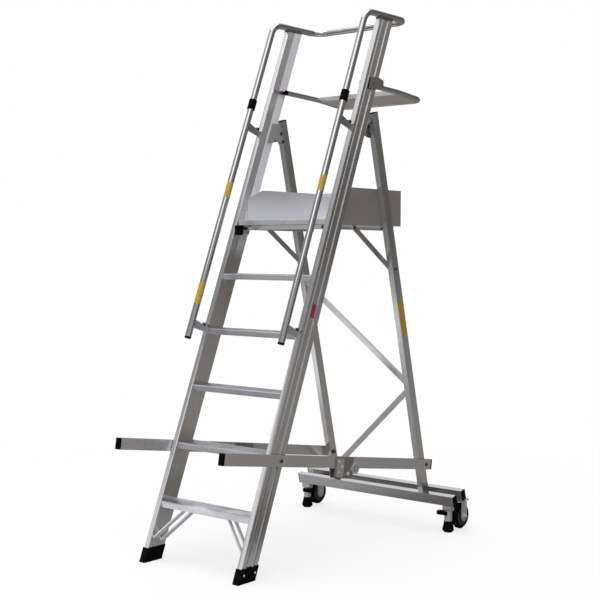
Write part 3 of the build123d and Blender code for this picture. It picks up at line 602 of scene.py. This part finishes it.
def flat_patch(mesh, middle, along, across, thick, corner):
    """Thin plate or film with round corners. Its two directions are as long as half of it."""
    normal = along.cross(across).normalized()
    length, width = along.length, across.length
    points = []
    for quarter in range(4):
        up = 1 if quarter in (0, 1) else -1
        out = 1 if quarter in (0, 3) else -1
        for turn in range(0, 91, 30):
            angle = math.radians(90 * quarter + turn)
            reach = out * (width - corner) + corner * math.cos(angle)
            climb = up * (length - corner) + corner * math.sin(angle)
            points.append(middle + across.normalized() * reach + along.normalized() * climb)
    mesh.prism(points, normal * thick)


# What a user would change

def colour_property(name, description, colour):
    return FloatVectorProperty(name=name, description=description, default=colour, size=3, subtype="COLOR",
                               min=0.0, max=1.0)


def direction_property(name, description, direction):
    return FloatVectorProperty(name=name, description=description, default=direction, size=3,
                               subtype="DIRECTION")


def length_property(name, description, size):
    return FloatProperty(name=name, description=description, default=size, unit="LENGTH", min=0.0)


def angle_property(name, description, degrees):
    return FloatProperty(name=name, description=description, default=math.radians(degrees), unit="ROTATION")


def power_property(name, description, watts):
    return FloatProperty(name=name, description=description, default=watts, unit="POWER", min=0.0)


def level_property(name, description, level):
    return FloatProperty(name=name, description=description, default=level, min=0.0)


def share_property(name, description, share):
    return FloatProperty(name=name, description=description, default=share, subtype="FACTOR",
                         min=0.0, max=1.0)


class LadderFinish(bpy.types.PropertyGroup):
    """Colours of the ladder's metals, plastics and films."""

    mill: colour_property("Extrusions", "Bare extruded aluminium", (0.6, 0.598, 0.596))
    tread: colour_property("Treads", "Grooved treads and deck", (0.6, 0.602, 0.615))
    sheet: colour_property("Sheet", "Toe boards and tray", (0.56, 0.545, 0.525))
    rail: colour_property("Rails", "Polished round tube", (0.42, 0.42, 0.418))
    steel: colour_property("Brackets", "Grey rail brackets", (0.25, 0.245, 0.235))
    # Paler tone: painted sheen on the hinge brackets' inner faces, and the handrail brackets' tone at hip
    # height and lower
    paler_tone: colour_property("Paler brackets", "Brackets at hip height and inside", (0.46, 0.48, 0.52))
    saddle: colour_property("Saddles", "Brown steel of the guard rail's saddles", (0.16, 0.13, 0.115))
    knuckle: colour_property("Knuckles", "Worn steel of knuckles and latch", (0.25, 0.235, 0.22))
    hinge: colour_property("Hinge brackets", "Bluish steel of the hinge brackets", (0.13, 0.145, 0.165))
    bolt: colour_property("Bolts", "Dark steel of bolts", (0.07, 0.067, 0.064))
    zinc: colour_property("Zinc", "Plated forks, axles and plungers", (0.56, 0.56, 0.555))
    plastic: colour_property("Plastic", "Caps, shoes, sleeves and knobs", (0.003, 0.003, 0.0032))
    foot: colour_property("Feet", "Rubber of the parking feet", (0.003, 0.003, 0.003))
    tyre: colour_property("Tyres", "Rubber of the tyres", (0.004, 0.004, 0.0042))
    hub: colour_property("Hubs", "Moulded hubs", (0.09, 0.09, 0.093))
    plate: colour_property("Knuckle plates", "Worn plates on the lift bars' knuckles", (0.66, 0.64, 0.61))
    yellow: colour_property("Yellow film", "Sticker bands on rails and leg", (0.5, 0.32, 0.03))
    red: colour_property("Red film", "Small sticker on the stile", (0.36, 0.03, 0.03))
    edge: length_property("Edge", "Rounding of the extrusions' edges", 0.0004)


class LadderFittings(bpy.types.PropertyGroup):
    """Sizes of bolts, rivets and sticker bands."""

    bar_bolt: length_property("Bar bolts", "Heads on the lift bars", 0.018)
    leg_bolt: length_property("Leg bolts", "Heads on legs and brackets", 0.016)
    hinge_bolt: length_property("Hinge bolts", "Heads on the hinge brackets", 0.02)
    clamp_bolt: length_property("Clamp bolts", "Heads on the knee rail's plates", 0.01)
    plate_screw: length_property("Plate screws", "Heads on the knuckle plates", 0.011)
    pivot_bolt: length_property("Pivot bolts", "Heads on the knuckles", 0.016)
    axle_nut: length_property("Axle nuts", "Nuts on the wheels' axles", 0.022)
    base_pin: length_property("Base pins", "Width of the pins on the base's ends", 0.013)
    base_pin_length: length_property("Base pin length", "How far the base's pins stand out", 0.012)
    rivet: length_property("Rivets", "Heads of the rivets", 0.011)
    film: length_property("Film", "Thickness of the sticker bands", 0.0004)


class LadderStudio(bpy.types.PropertyGroup):
    """Camera, light and floor."""

    place: FloatVectorProperty(name="Camera", description="Place of the camera", size=3, unit="LENGTH",
                               default=(3.5015, -4.2299, 1.356))
    turn: angle_property("Turn", "Camera's turn to the left of +Y", 39.288)
    tilt: angle_property("Tilt", "Camera's tilt upward", -2.312)
    roll: angle_property("Roll", "Camera's roll", 0.244)
    lens: FloatProperty(name="Lens", description="Focal length", default=71.18, unit="CAMERA", min=1.0)
    key_power: power_property("Key light", "Power of the lamp in front", 45.0)
    top_power: power_property("Top light", "Power of the lamp overhead", 90.0)
    dark_side: direction_property("Dark side", "Direction of the studio's dark side", (0.7, 0.7, 0.0))
    dim_side: direction_property("Dim side", "Direction of the studio's dim wall", (-0.8, 0.6, 0.0))
    bright_side: direction_property("Bright side", "Direction of the brightest wall", (0.45, -0.86, 0.25))
    bright: level_property("Bright level", "What the brightest wall gains", 0.3)
    wall: level_property("Wall", "Level of the studio's lit walls at the horizon", 0.5)
    glow: level_property("Low wall", "What the walls gain a little above the horizon", 0.68)
    shade_band: level_property("Shade band", "What the walls lose below the ceiling", 0.86)
    ceiling: level_property("Ceiling", "What the ceiling gains", 0.85)
    dark: level_property("Dark level", "Level of the studio's dark side", 0.08)
    dark_glow: level_property("Dark band", "What the dark side gains a little above the horizon", 0.18)
    cool: colour_property("Cool light", "Tint of the bright side", (0.965, 0.97, 1.0))
    warm: colour_property("Warm light", "Tint of the dark side", (1.0, 0.93, 0.85))
    backdrop_mirror: share_property("Mirrored backdrop", "Share of the white backdrop in metal", 0.06)
    floor: colour_property("Floor", "Pale floor as the camera sees it", (0.9, 0.9, 0.9))
    floor_near: colour_property("Near floor", "Floor in front, as it lights the ladder", (0.94, 0.95, 0.97))
    floor_mid: colour_property("Middle floor", "Floor below, as it lights the ladder", (0.42, 0.42, 0.425))
    floor_far: colour_property("Far floor", "Far floor, as it lights the ladder", (0.24, 0.24, 0.245))
    floor_back: colour_property("Back floor", "Floor behind, as it lights the ladder", (0.28, 0.255, 0.232))
    floor_glow: share_property("Floor white", "Share of plain white in the floor by the ladder", 0.72)
    floor_mirror: share_property("Mirrored floor", "Share of plain white floor in metal", 0.06)
    shadow_reach: length_property("Shadow reach", "How far from the ladder the floor turns plain white", 3.4)


# Finishing the solids

class LADDER_OT_finish_extrusions(bpy.types.Operator):
    """Gives stiles, legs, bars and tubes a mill finish drawn along each one's length"""
    bl_idname = "ladder.finish_extrusions"
    bl_label = "Finish extrusions"

    def execute(self, context):
        finish = context.scene.ladder_finish
        made = {}
        for node in nodes_of("mill_aluminium"):
            kind = node.removesuffix("_left").removesuffix("_right")
            if kind not in made:
                masks = EXTRUSION_MASKS.get(kind, {})
                lean = Bar(node).along
                made[kind] = aluminium(f"mill_{kind}", finish.mill, roughness=0.2, along=lean, **masks)
            dress(made[kind], node)
            if kind in SOFTENED:
                soften(node, finish.edge)
        return {"FINISHED"}


class LADDER_OT_finish_treads(bpy.types.Operator):
    """Gives treads and deck a grooved finish drawn across the ladder, with painted reflection on the lowest
    tread
    """
    bl_idname = "ladder.finish_treads"
    bl_label = "Finish treads"

    def execute(self, context):
        colour = context.scene.ladder_finish.tread
        material = aluminium("tread_metal", colour, roughness=0.3, along=SIDEWAYS, die_lines=1.2,
                             smudges=1.3, pale=lowest_tread_painted_reflection)
        dress(material, *nodes_of("tread_aluminium"))
        return {"FINISHED"}


class LADDER_OT_finish_sheet(bpy.types.Operator):
    """Gives toe boards and tray a dull rolled finish"""
    bl_idname = "ladder.finish_sheet"
    bl_label = "Finish sheet"

    def execute(self, context):
        colour = context.scene.ladder_finish.sheet
        rolled = {"die_lines": 0.5, "smudges": 1.2}
        board = {"roughness": 0.4, "pale": board_painted_sheen, **rolled}
        boards = aluminium("board_metal", colour, along=AHEAD, **board)
        rear = aluminium("rear_board_metal", colour, along=SIDEWAYS, **board)
        tray = aluminium("tray_metal", colour, roughness=0.36, along=SIDEWAYS, **rolled)
        dress(boards, *nodes_of("sheet_aluminium"))
        dress(rear, "toe_board_rear")
        dress(tray, "tray")
        return {"FINISHED"}


class LADDER_OT_finish_rails(bpy.types.Operator):
    """Gives handrails, guard rail and knee rail a bright drawn finish"""
    bl_idname = "ladder.finish_rails"
    bl_label = "Finish rails"

    def execute(self, context):
        colour = context.scene.ladder_finish.rail
        lean = Bar("handrail_right").along
        material = aluminium("rail_metal", colour, roughness=0.11, along=lean, die_lines=0.4, smudges=0.5)
        dress(material, *nodes_of("rail_aluminium"))
        return {"FINISHED"}


class LADDER_OT_finish_steel(bpy.types.Operator):
    """Gives brackets, knuckles, forks and plungers their dark or plated finish"""
    bl_idname = "ladder.finish_steel"
    bl_label = "Finish steel"

    def execute(self, context):
        finish = context.scene.ladder_finish
        dress(cast_grey("bracket_grey", finish.steel), *nodes_of("grey_steel"))
        dress(zinc_plate("zinc_plate", finish.zinc), *nodes_of("zinc_steel"))
        dress(cast_grey("knuckle_steel", finish.knuckle), "knuckle_left", "knuckle_right", "knee_rail_latch")
        dress(cast_grey("saddle_steel", finish.saddle), "rail_saddles")
        # Painted sheen: the hinge brackets' inner faces take the paler tone, like the stiles' inner faces
        dress(cast_grey("hinge_steel", finish.hinge, finish.paler_tone, inward), "hinge_brackets")
        # The handrail brackets take the paler tone at hip height and lower
        dress(cast_grey("rail_bracket_steel", finish.steel, finish.paler_tone, hip_height), "handrail_brackets")
        return {"FINISHED"}


class LADDER_OT_finish_mouldings(bpy.types.Operator):
    """Gives caps, shoes, sleeves, feet, tyres and hubs their moulded finish"""
    bl_idname = "ladder.finish_mouldings"
    bl_label = "Finish mouldings"

    def execute(self, context):
        finish = context.scene.ladder_finish
        for slot, colour, roughness, grain, dust in (
                ("black_plastic", finish.plastic, 0.5, 700.0, 0.03),
                ("foot_rubber", finish.foot, 0.62, 500.0, 0.03),
                ("tyre_rubber", finish.tyre, 0.6, 400.0, 0.05),
                ("hub_plastic", finish.hub, 0.4, 700.0, 0.3)):
            dress(moulded(slot, colour, roughness, grain, dust), *nodes_of(slot))
        return {"FINISHED"}


# Adding bolts, plates and films

# Places of fastenings in the frame: Y and Z
STRUT_HEAD = (0.1214, 1.4682)
HINGE_BOLTS = ((0.2124, 1.9335), (0.2244, 1.8955))
SHOE_RIVETS = ((-0.6616, 0.034), (-0.5939, 0.034))
BASE_PIN = (0.7499, 0.151)
# Middle of a strut's foot above its lowest edge
STRUT_FOOT_RISE = 0.0125
# Inner face of the hinge brackets, inside the knee rail clamps' outer ends, and the brackets' thickness
HINGE_INSET = 0.005
HINGE_THICKNESS = 0.01
# Bolts behind the front ends of the knee rail's clamps and of its latch
CLAMP_BOLTS = (0.011, 0.058)
LATCH_BOLT = 0.03
# Bolts of the flat handrail brackets: levels, share of the stile's depth, and half a bracket's thickness
BRACKET_LEVELS = (1.0, 1.92)
BRACKET_BOLT_SHARE = -0.2
BRACKET_HALF = 0.003
# Gusset's bolt: inside the stile's inner face, behind the tread's front edge, and its level
GUSSET_BOLT_INSET = 0.016
GUSSET_BOLT_SETBACK = 0.014
GUSSET_BOLT_LEVEL = 1.212
# Worn plate of a knuckle: off the lift bar's face, behind the knuckle's front, its level, drop and size
PLATE_LIFT = 0.0043
PLATE_SETBACK = 0.012
PLATE_LEVEL = 0.4045
PLATE_DROP = 0.004
PLATE_LENGTH = 0.052
PLATE_HEIGHT = 0.084
PLATE_THICKNESS = 0.0022
PLATE_CORNER = 0.005
# Screws from the plate's middle and the pivot's bolt from its start: ahead and down
PLATE_SCREWS = ((-0.012, -0.026), (0.012, -0.004), (-0.006, 0.02))
PIVOT_BOLT = (0.086, 0.03)
# Sticker bands round the handrails: side, lowest and highest level
RAIL_FILMS = (
    ("right", 1.623, 1.690),
    ("left", 1.606, 1.677),
    ("left", 1.118, 1.213),
)
# Flat stickers: name, bar, levels, share of its depth, depth below its outer face, half width and corner
FLAT_FILMS = (
    ("leg_film", "leg_right", (0.955, 1.13), 0.5, 0.0, 0.021, 0.004),
    ("stile_film", "stile_right", (1.0685, 1.131), 0.47, 0.004, 0.0155, 0.003),
)


class LADDER_OT_add_bolts(bpy.types.Operator):
    """Adds the dark bolts of lift bars, legs, struts, hinge brackets, clamps, latch and rail brackets"""
    bl_idname = "ladder.add_bolts"
    bl_label = "Add bolts"

    def execute(self, context):
        fittings = context.scene.ladder_fittings
        dark = cast_grey("bolt_dark", context.scene.ladder_finish.bolt)
        bars = Mesh("lift_bar_bolts")
        legs = Mesh("leg_bolts")
        hinges = Mesh("hinge_bolts")
        rails = Mesh("rail_bolts")
        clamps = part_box("knee_rail_clamps")
        clamp_level = middle_of("knee_rail_clamps").z
        plate_x = clamps[1].x - HINGE_INSET
        foot_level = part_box("deck_struts")[0].z + STRUT_FOOT_RISE
        for side, sign in SIDES:
            out = SIDEWAYS * sign
            stile, leg = f"stile_{side}", f"leg_{side}"
            for bar, post in ((f"lift_bar_front_{side}", stile), (f"lift_bar_rear_{side}", leg)):
                y, z = crossing(bar, post)
                button_bolt(bars, Vector((face_x(bar, sign), y, z)), out, fittings.bar_bolt)
                hex_bolt(bars, Vector((face_x(post, -sign), y, z)), -out, fittings.bar_bolt)
            foot = Vector((face_x(leg, sign), Bar(leg).at(foot_level).y, foot_level))
            head = Vector((face_x("deck_struts", sign), *STRUT_HEAD))
            for point in (foot, head):
                button_bolt(legs, point, out, fittings.leg_bolt)
            for y, z in HINGE_BOLTS:
                inside = Vector((sign * plate_x, y, z))
                button_bolt(hinges, inside, -out, fittings.hinge_bolt)
                button_bolt(hinges, inside + out * HINGE_THICKNESS, out, fittings.hinge_bolt)
            for step in CLAMP_BOLTS:
                point = Vector((sign * plate_x, clamps[0].y + step, clamp_level))
                button_bolt(rails, point, -out, fittings.clamp_bolt)
            upright = Bar(stile)
            for z in BRACKET_LEVELS:
                middle = upright.at(z, BRACKET_BOLT_SHARE)
                middle.x = upright.middle.x
                for normal in (-out, out):
                    button_bolt(rails, middle + normal * BRACKET_HALF, normal, fittings.leg_bolt)
        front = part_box("knee_rail_latch")[0].y
        point = Vector((face_x("knee_rail_latch", 1), front + LATCH_BOLT, middle_of("knee_rail_latch").z))
        button_bolt(rails, point, SIDEWAYS, fittings.clamp_bolt)
        for mesh in (bars, legs, hinges, rails):
            mesh.finish("ladder", "grey_steel", dark)
        return {"FINISHED"}


class LADDER_OT_add_bright_fasteners(bpy.types.Operator):
    """Adds the plated nuts, pins, gusset bolt and rivets"""
    bl_idname = "ladder.add_bright_fasteners"
    bl_label = "Add plated nuts and rivets"

    def execute(self, context):
        fittings = context.scene.ladder_fittings
        bright = zinc_plate("fastener_zinc", context.scene.ladder_finish.zinc)
        axles = Mesh("axle_nuts")
        pins = Mesh("base_pins")
        gussets = Mesh("gusset_bolts")
        rivets = Mesh("shoe_rivets")
        for side, sign in SIDES:
            out = SIDEWAYS * sign
            axle = middle_of(f"tyre_{side}")
            for turn in (-1, 1):
                point = Vector((face_x(f"fork_{side}", turn), axle.y, axle.z))
                nut(axles, point, SIDEWAYS * turn, fittings.axle_nut)
            point = Vector((face_x("base_caps", sign), *BASE_PIN))
            stud(pins, point, out, fittings.base_pin, fittings.base_pin_length)
            for y, z in SHOE_RIVETS:
                rivet(rivets, Vector((face_x(f"shoe_{side}", sign), y, z)), out, fittings.rivet)
        x = face_x("stile_right", -1) - GUSSET_BOLT_INSET
        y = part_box("tread_5")[0].y + GUSSET_BOLT_SETBACK
        hex_bolt(gussets, Vector((x, y, GUSSET_BOLT_LEVEL)), -AHEAD, fittings.leg_bolt)
        for mesh in (axles, pins, gussets, rivets):
            mesh.finish("ladder", "zinc_steel", bright)
        return {"FINISHED"}


class LADDER_OT_add_knuckle_plates(bpy.types.Operator):
    """Adds the plates, pale with wear, and their screws on the outer face of each lift bar's knuckle"""
    bl_idname = "ladder.add_knuckle_plates"
    bl_label = "Add knuckle plates"

    def execute(self, context):
        finish = context.scene.ladder_finish
        fittings = context.scene.ladder_fittings
        wear_and_highlight = aluminium("knuckle_plate_metal", finish.plate, roughness=0.34, along=UPWARD, die_lines=0.6,
                         smudges=1.4)
        bright = zinc_plate("knuckle_screw_zinc", finish.zinc)
        plates = Mesh("knuckle_plates")
        screws = Mesh("knuckle_screws")
        for side, sign in SIDES:
            out = SIDEWAYS * sign
            bar = f"lift_bar_front_{side}"
            lean = Bar(bar).along
            ahead = Vector((0, abs(lean.y), -abs(lean.z)))
            down = Vector((0, -abs(lean.z), -abs(lean.y)))
            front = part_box(f"knuckle_{side}")[0].y
            start = Vector((face_x(bar, sign) + sign * PLATE_LIFT, front + PLATE_SETBACK, PLATE_LEVEL))
            middle = start + ahead * (PLATE_LENGTH / 2) + down * PLATE_DROP
            flat_patch(plates, middle, down * (PLATE_HEIGHT / 2), ahead * (sign * PLATE_LENGTH / 2),
                       PLATE_THICKNESS, PLATE_CORNER)
            face = middle + out * PLATE_THICKNESS
            for step, drop in PLATE_SCREWS:
                hex_bolt(screws, face + ahead * step + down * drop, out, fittings.plate_screw)
            step, drop = PIVOT_BOLT
            hex_bolt(screws, start + ahead * step + down * drop, out, fittings.pivot_bolt)
        plates.finish("ladder", "grey_steel", wear_and_highlight)
        screws.finish("ladder", "zinc_steel", bright)
        return {"FINISHED"}


class LADDER_OT_add_films(bpy.types.Operator):
    """Adds the plain sticker bands on rails, leg and stile"""
    bl_idname = "ladder.add_films"
    bl_label = "Add sticker bands"

    def execute(self, context):
        finish = context.scene.ladder_finish
        thick = context.scene.ladder_fittings.film
        yellow = vinyl("film_yellow", finish.yellow)
        films = {"leg_film": yellow, "stile_film": vinyl("film_red", finish.red)}
        bands = Mesh("rail_films")
        for side, low, high in RAIL_FILMS:
            rail = Bar(f"handrail_{side}")
            inside = rail.depth / 2
            outside = inside + thick
            length = (high - low) / rail.along.z
            profile = ((inside, 0), (outside, 0), (outside, length), (inside, length))
            bands.turned(facing(rail.at(low), rail.along), profile, BAND_STEPS, hollow=True)
        bands.finish("ladder", "rail_aluminium", yellow)
        for name, node, (low, high), share, sunk, half_width, corner in FLAT_FILMS:
            bar = Bar(node)
            middle = bar.at((low + high) / 2, share)
            middle.x = face_x(node, 1) - sunk
            patch = Mesh(name)
            half_length = (high - low) / 2
            flat_patch(patch, middle, bar.along * half_length, bar.across * -half_width, thick, corner)
            patch.finish("ladder", "mill_aluminium", films[name])
        return {"FINISHED"}


# Stage

# Width of the camera's sensor in millimetres
SENSOR_WIDTH = 36.0
# Lamps: place, target and size
KEY_LIGHT = ((1.4, -4.8, 6.6), (0, 0, 1.2), 3.2)
TOP_LIGHT = ((-0.4, 0.2, 5.6), (0, 0, 0), 3.6)
# Floor: squares along a side and half its width
FLOOR_SQUARES = 8
FLOOR_HALF_WIDTH = 40.0
# Share of the shadow's reach at which the floor starts to turn white
SHADOW_CORE = 0.4
# Where the floor's painted tones change, by how far a place lies to the dark side: for the rays that light
# the ladder, the floor is painted darker there, as light falls off
NEAR_FLOOR_END = (-1.2, -0.8)
BACK_FLOOR_START = (0.05, 0.6)
# Where the back floor leaves the ladder's shade, by the distance from the middle, and that shade
BACK_SHADE_END = (0.9, 2.2)
BACK_SHADE = 0.45
# Bands of the studio's light, by the height of a direction: where each starts and where it is full
GLOW_RISE = (0.04, 0.16)
SHADE_RISE = (0.3, 0.39)
CEILING_RISE = (0.54, 0.67)
DIM_CEILING_RISE = (0.16, 0.26)
DARK_GLOW_RISE = (0.04, 0.2)
DARK_GLOW_FALL = (0.26, 0.4)
# Soft edges of the studio's sides, by how far a direction leads to a side
DIM_SIDE_EDGE = (0.5, 0.85)
DARK_SIDE_EDGE = (0.36, 0.86)
BRIGHT_SIDE_EDGE = (0.62, 0.95)
WHITE = (1.0, 1.0, 1.0, 1.0)


def add_camera(scene, studio):
    """Camera at the photograph's place and angle."""
    turn, tilt, roll = studio.turn, studio.tilt, studio.roll
    ahead = Vector((-math.sin(turn) * math.cos(tilt), math.cos(turn) * math.cos(tilt), math.sin(tilt)))
    level = Vector((math.cos(turn), math.sin(turn), 0))
    upward = level.cross(ahead)
    right = level * math.cos(roll) + upward * math.sin(roll)
    top = upward * math.cos(roll) - level * math.sin(roll)
    data = bpy.data.cameras.new("camera")
    data.lens = studio.lens
    data.sensor_width = SENSOR_WIDTH
    camera = bpy.data.objects.new("camera", data)
    stand = Matrix((right, top, -ahead)).transposed().to_4x4()
    camera.matrix_world = Matrix.Translation(studio.place) @ stand
    scene.collection.objects.link(camera)
    scene.camera = camera


def add_floor(studio):
    """Wide pale floor that shows white, keeps the ladder's shadow and is mirrored in the metal."""
    grid = bmesh.new()
    bmesh.ops.create_grid(grid, x_segments=FLOOR_SQUARES, y_segments=FLOOR_SQUARES, size=FLOOR_HALF_WIDTH)
    data = bpy.data.meshes.new("floor")
    grid.to_mesh(data)
    grid.free()
    floor = bpy.data.objects.new("floor", data)
    bpy.context.scene.collection.objects.link(floor)
    tree = material_tree("floor_paint")
    away = tree.vectors("LENGTH", tree.place(), output="Value")
    open_floor = tree.step(away, studio.shadow_reach * SHADOW_CORE, studio.shadow_reach)
    seen = tree.ray("Camera")
    mirrored = tree.ray("Glossy") + tree.ray("Transmission")
    whiteness = studio.floor_glow + open_floor * (1 - studio.floor_glow)
    glow = seen * whiteness + mirrored * studio.floor_mirror
    # Painted light and shade in the floor's colour for the rays that light the ladder: bright in front,
    # darker toward the dark side, far off and in the ladder's shade behind
    back = tree.reach(tree.place(), Vector(studio.dark_side).normalized())
    near = tree.mix(tree.step(back, *NEAR_FLOOR_END), shade(studio.floor_near), shade(studio.floor_mid))
    front = tree.mix(open_floor, near, shade(studio.floor_far))
    shaded = shade(studio.floor_back, BACK_SHADE)
    rear = tree.mix(tree.step(away, *BACK_SHADE_END), shaded, shade(studio.floor_back))
    lighting = tree.mix(tree.step(back, *BACK_FLOOR_START), front, rear)
    colour = tree.mix(seen, lighting, shade(studio.floor))
    matt = {"Base Color": colour, "Roughness": 1.0, "Specular IOR Level": 0.0}
    paint = tree.node("ShaderNodeBsdfPrincipled", None, matt)
    white = tree.node("ShaderNodeEmission", None, {"Color": WHITE, "Strength": 1.0})
    both = tree.node("ShaderNodeMixShader", None, {0: glow, 1: paint, 2: white})
    tree.node("ShaderNodeOutputMaterial", None, {"Surface": both})
    data.materials.append(tree.owner)


def toward(tree, direction, side, edge):
    """1 in directions that lead to one side of the studio, 0 in the others, with a soft edge."""
    return tree.step(tree.reach(direction, Vector(side).normalized()), *edge)


def light_world(scene, studio):
    """Studio with a bright cool front and a dim warm back, white where the camera sees it."""
    scene.world = bpy.data.worlds.new("studio")
    tree = Tree(scene.world)
    direction = tree.node("ShaderNodeTexCoord", output="Generated")
    height = tree.reach(direction, UPWARD)
    lit = studio.wall + tree.step(height, *GLOW_RISE) * studio.glow
    lit = lit - tree.step(height, *SHADE_RISE) * studio.shade_band
    lit = lit + tree.step(height, *CEILING_RISE) * studio.ceiling
    beside = studio.dark + tree.step(height, *DIM_CEILING_RISE) * studio.ceiling
    lit = lit + toward(tree, direction, studio.dim_side, DIM_SIDE_EDGE) * (beside - lit)
    front = 1 - toward(tree, direction, studio.dark_side, DARK_SIDE_EDGE)
    band = tree.step(height, *DARK_GLOW_RISE) - tree.step(height, *DARK_GLOW_FALL)
    dim = studio.dark + band * studio.dark_glow
    brightest = toward(tree, direction, studio.bright_side, BRIGHT_SIDE_EDGE)
    level = dim + front * (lit - dim) + brightest * studio.bright
    seen = tree.ray("Camera")
    shown = seen + (tree.ray("Glossy") + tree.ray("Transmission")) * studio.backdrop_mirror
    tint = tree.mix(front, shade(studio.warm), shade(studio.cool))
    light = tree.node("ShaderNodeBackground", None, {
        "Color": tree.mix(seen, tint, WHITE), "Strength": shown + (1 - shown) * level})
    tree.node("ShaderNodeOutputWorld", None, {"Surface": light})


def add_lamp(name, place, target, size, power):
    """Square soft lamp that points at a target."""
    data = bpy.data.lights.new(name, "AREA")
    data.size = size
    data.energy = power
    lamp = bpy.data.objects.new(name, data)
    lamp.location = place
    lamp.rotation_mode = "QUATERNION"
    lamp.rotation_quaternion = (Vector(target) - Vector(place)).to_track_quat("-Z", "Y")
    bpy.context.scene.collection.objects.link(lamp)


class LADDER_OT_build_stage(bpy.types.Operator):
    """Sets up the camera, the pale floor and the soft studio light"""
    bl_idname = "ladder.build_stage"
    bl_label = "Build stage"

    def execute(self, context):
        studio = context.scene.ladder_studio
        context.scene.view_settings.view_transform = "Standard"
        add_camera(context.scene, studio)
        add_floor(studio)
        light_world(context.scene, studio)
        add_lamp("key_light", *KEY_LIGHT, studio.key_power)
        add_lamp("top_light", *TOP_LIGHT, studio.top_power)
        return {"FINISHED"}


OPERATORS = (
    LADDER_OT_finish_extrusions, LADDER_OT_finish_treads, LADDER_OT_finish_sheet, LADDER_OT_finish_rails,
    LADDER_OT_finish_steel, LADDER_OT_finish_mouldings, LADDER_OT_add_bolts, LADDER_OT_add_bright_fasteners,
    LADDER_OT_add_knuckle_plates, LADDER_OT_add_films, LADDER_OT_build_stage,
)
GROUPS = (
    ("ladder_finish", LadderFinish), ("ladder_fittings", LadderFittings), ("ladder_studio", LadderStudio),
)


class LADDER_PT_panel(bpy.types.Panel):
    """Lists the ladder's steps in the sidebar"""
    bl_idname = "LADDER_PT_panel"
    bl_label = "Ladder"
    bl_space_type = "VIEW_3D"
    bl_region_type = "UI"
    bl_category = "Ladder"

    def draw(self, context):
        for operator in OPERATORS:
            self.layout.operator(operator.bl_idname)
        for name, group in GROUPS:
            box = self.layout.box()
            for key in group.__annotations__:
                box.prop(getattr(context.scene, name), key)


def register():
    for _, group in GROUPS:
        bpy.utils.register_class(group)
    for operator in (*OPERATORS, LADDER_PT_panel):
        bpy.utils.register_class(operator)
    for name, group in GROUPS:
        setattr(bpy.types.Scene, name, PointerProperty(type=group))


def unregister():
    for name, _ in GROUPS:
        delattr(bpy.types.Scene, name)
    for operator in (LADDER_PT_panel, *reversed(OPERATORS)):
        bpy.utils.unregister_class(operator)
    for _, group in reversed(GROUPS):
        bpy.utils.unregister_class(group)


def main():
    register()
    for operator in OPERATORS:
        group, name = operator.bl_idname.split(".")
        getattr(getattr(bpy.ops, group), name)()


if __name__ == "__main__":
    main()
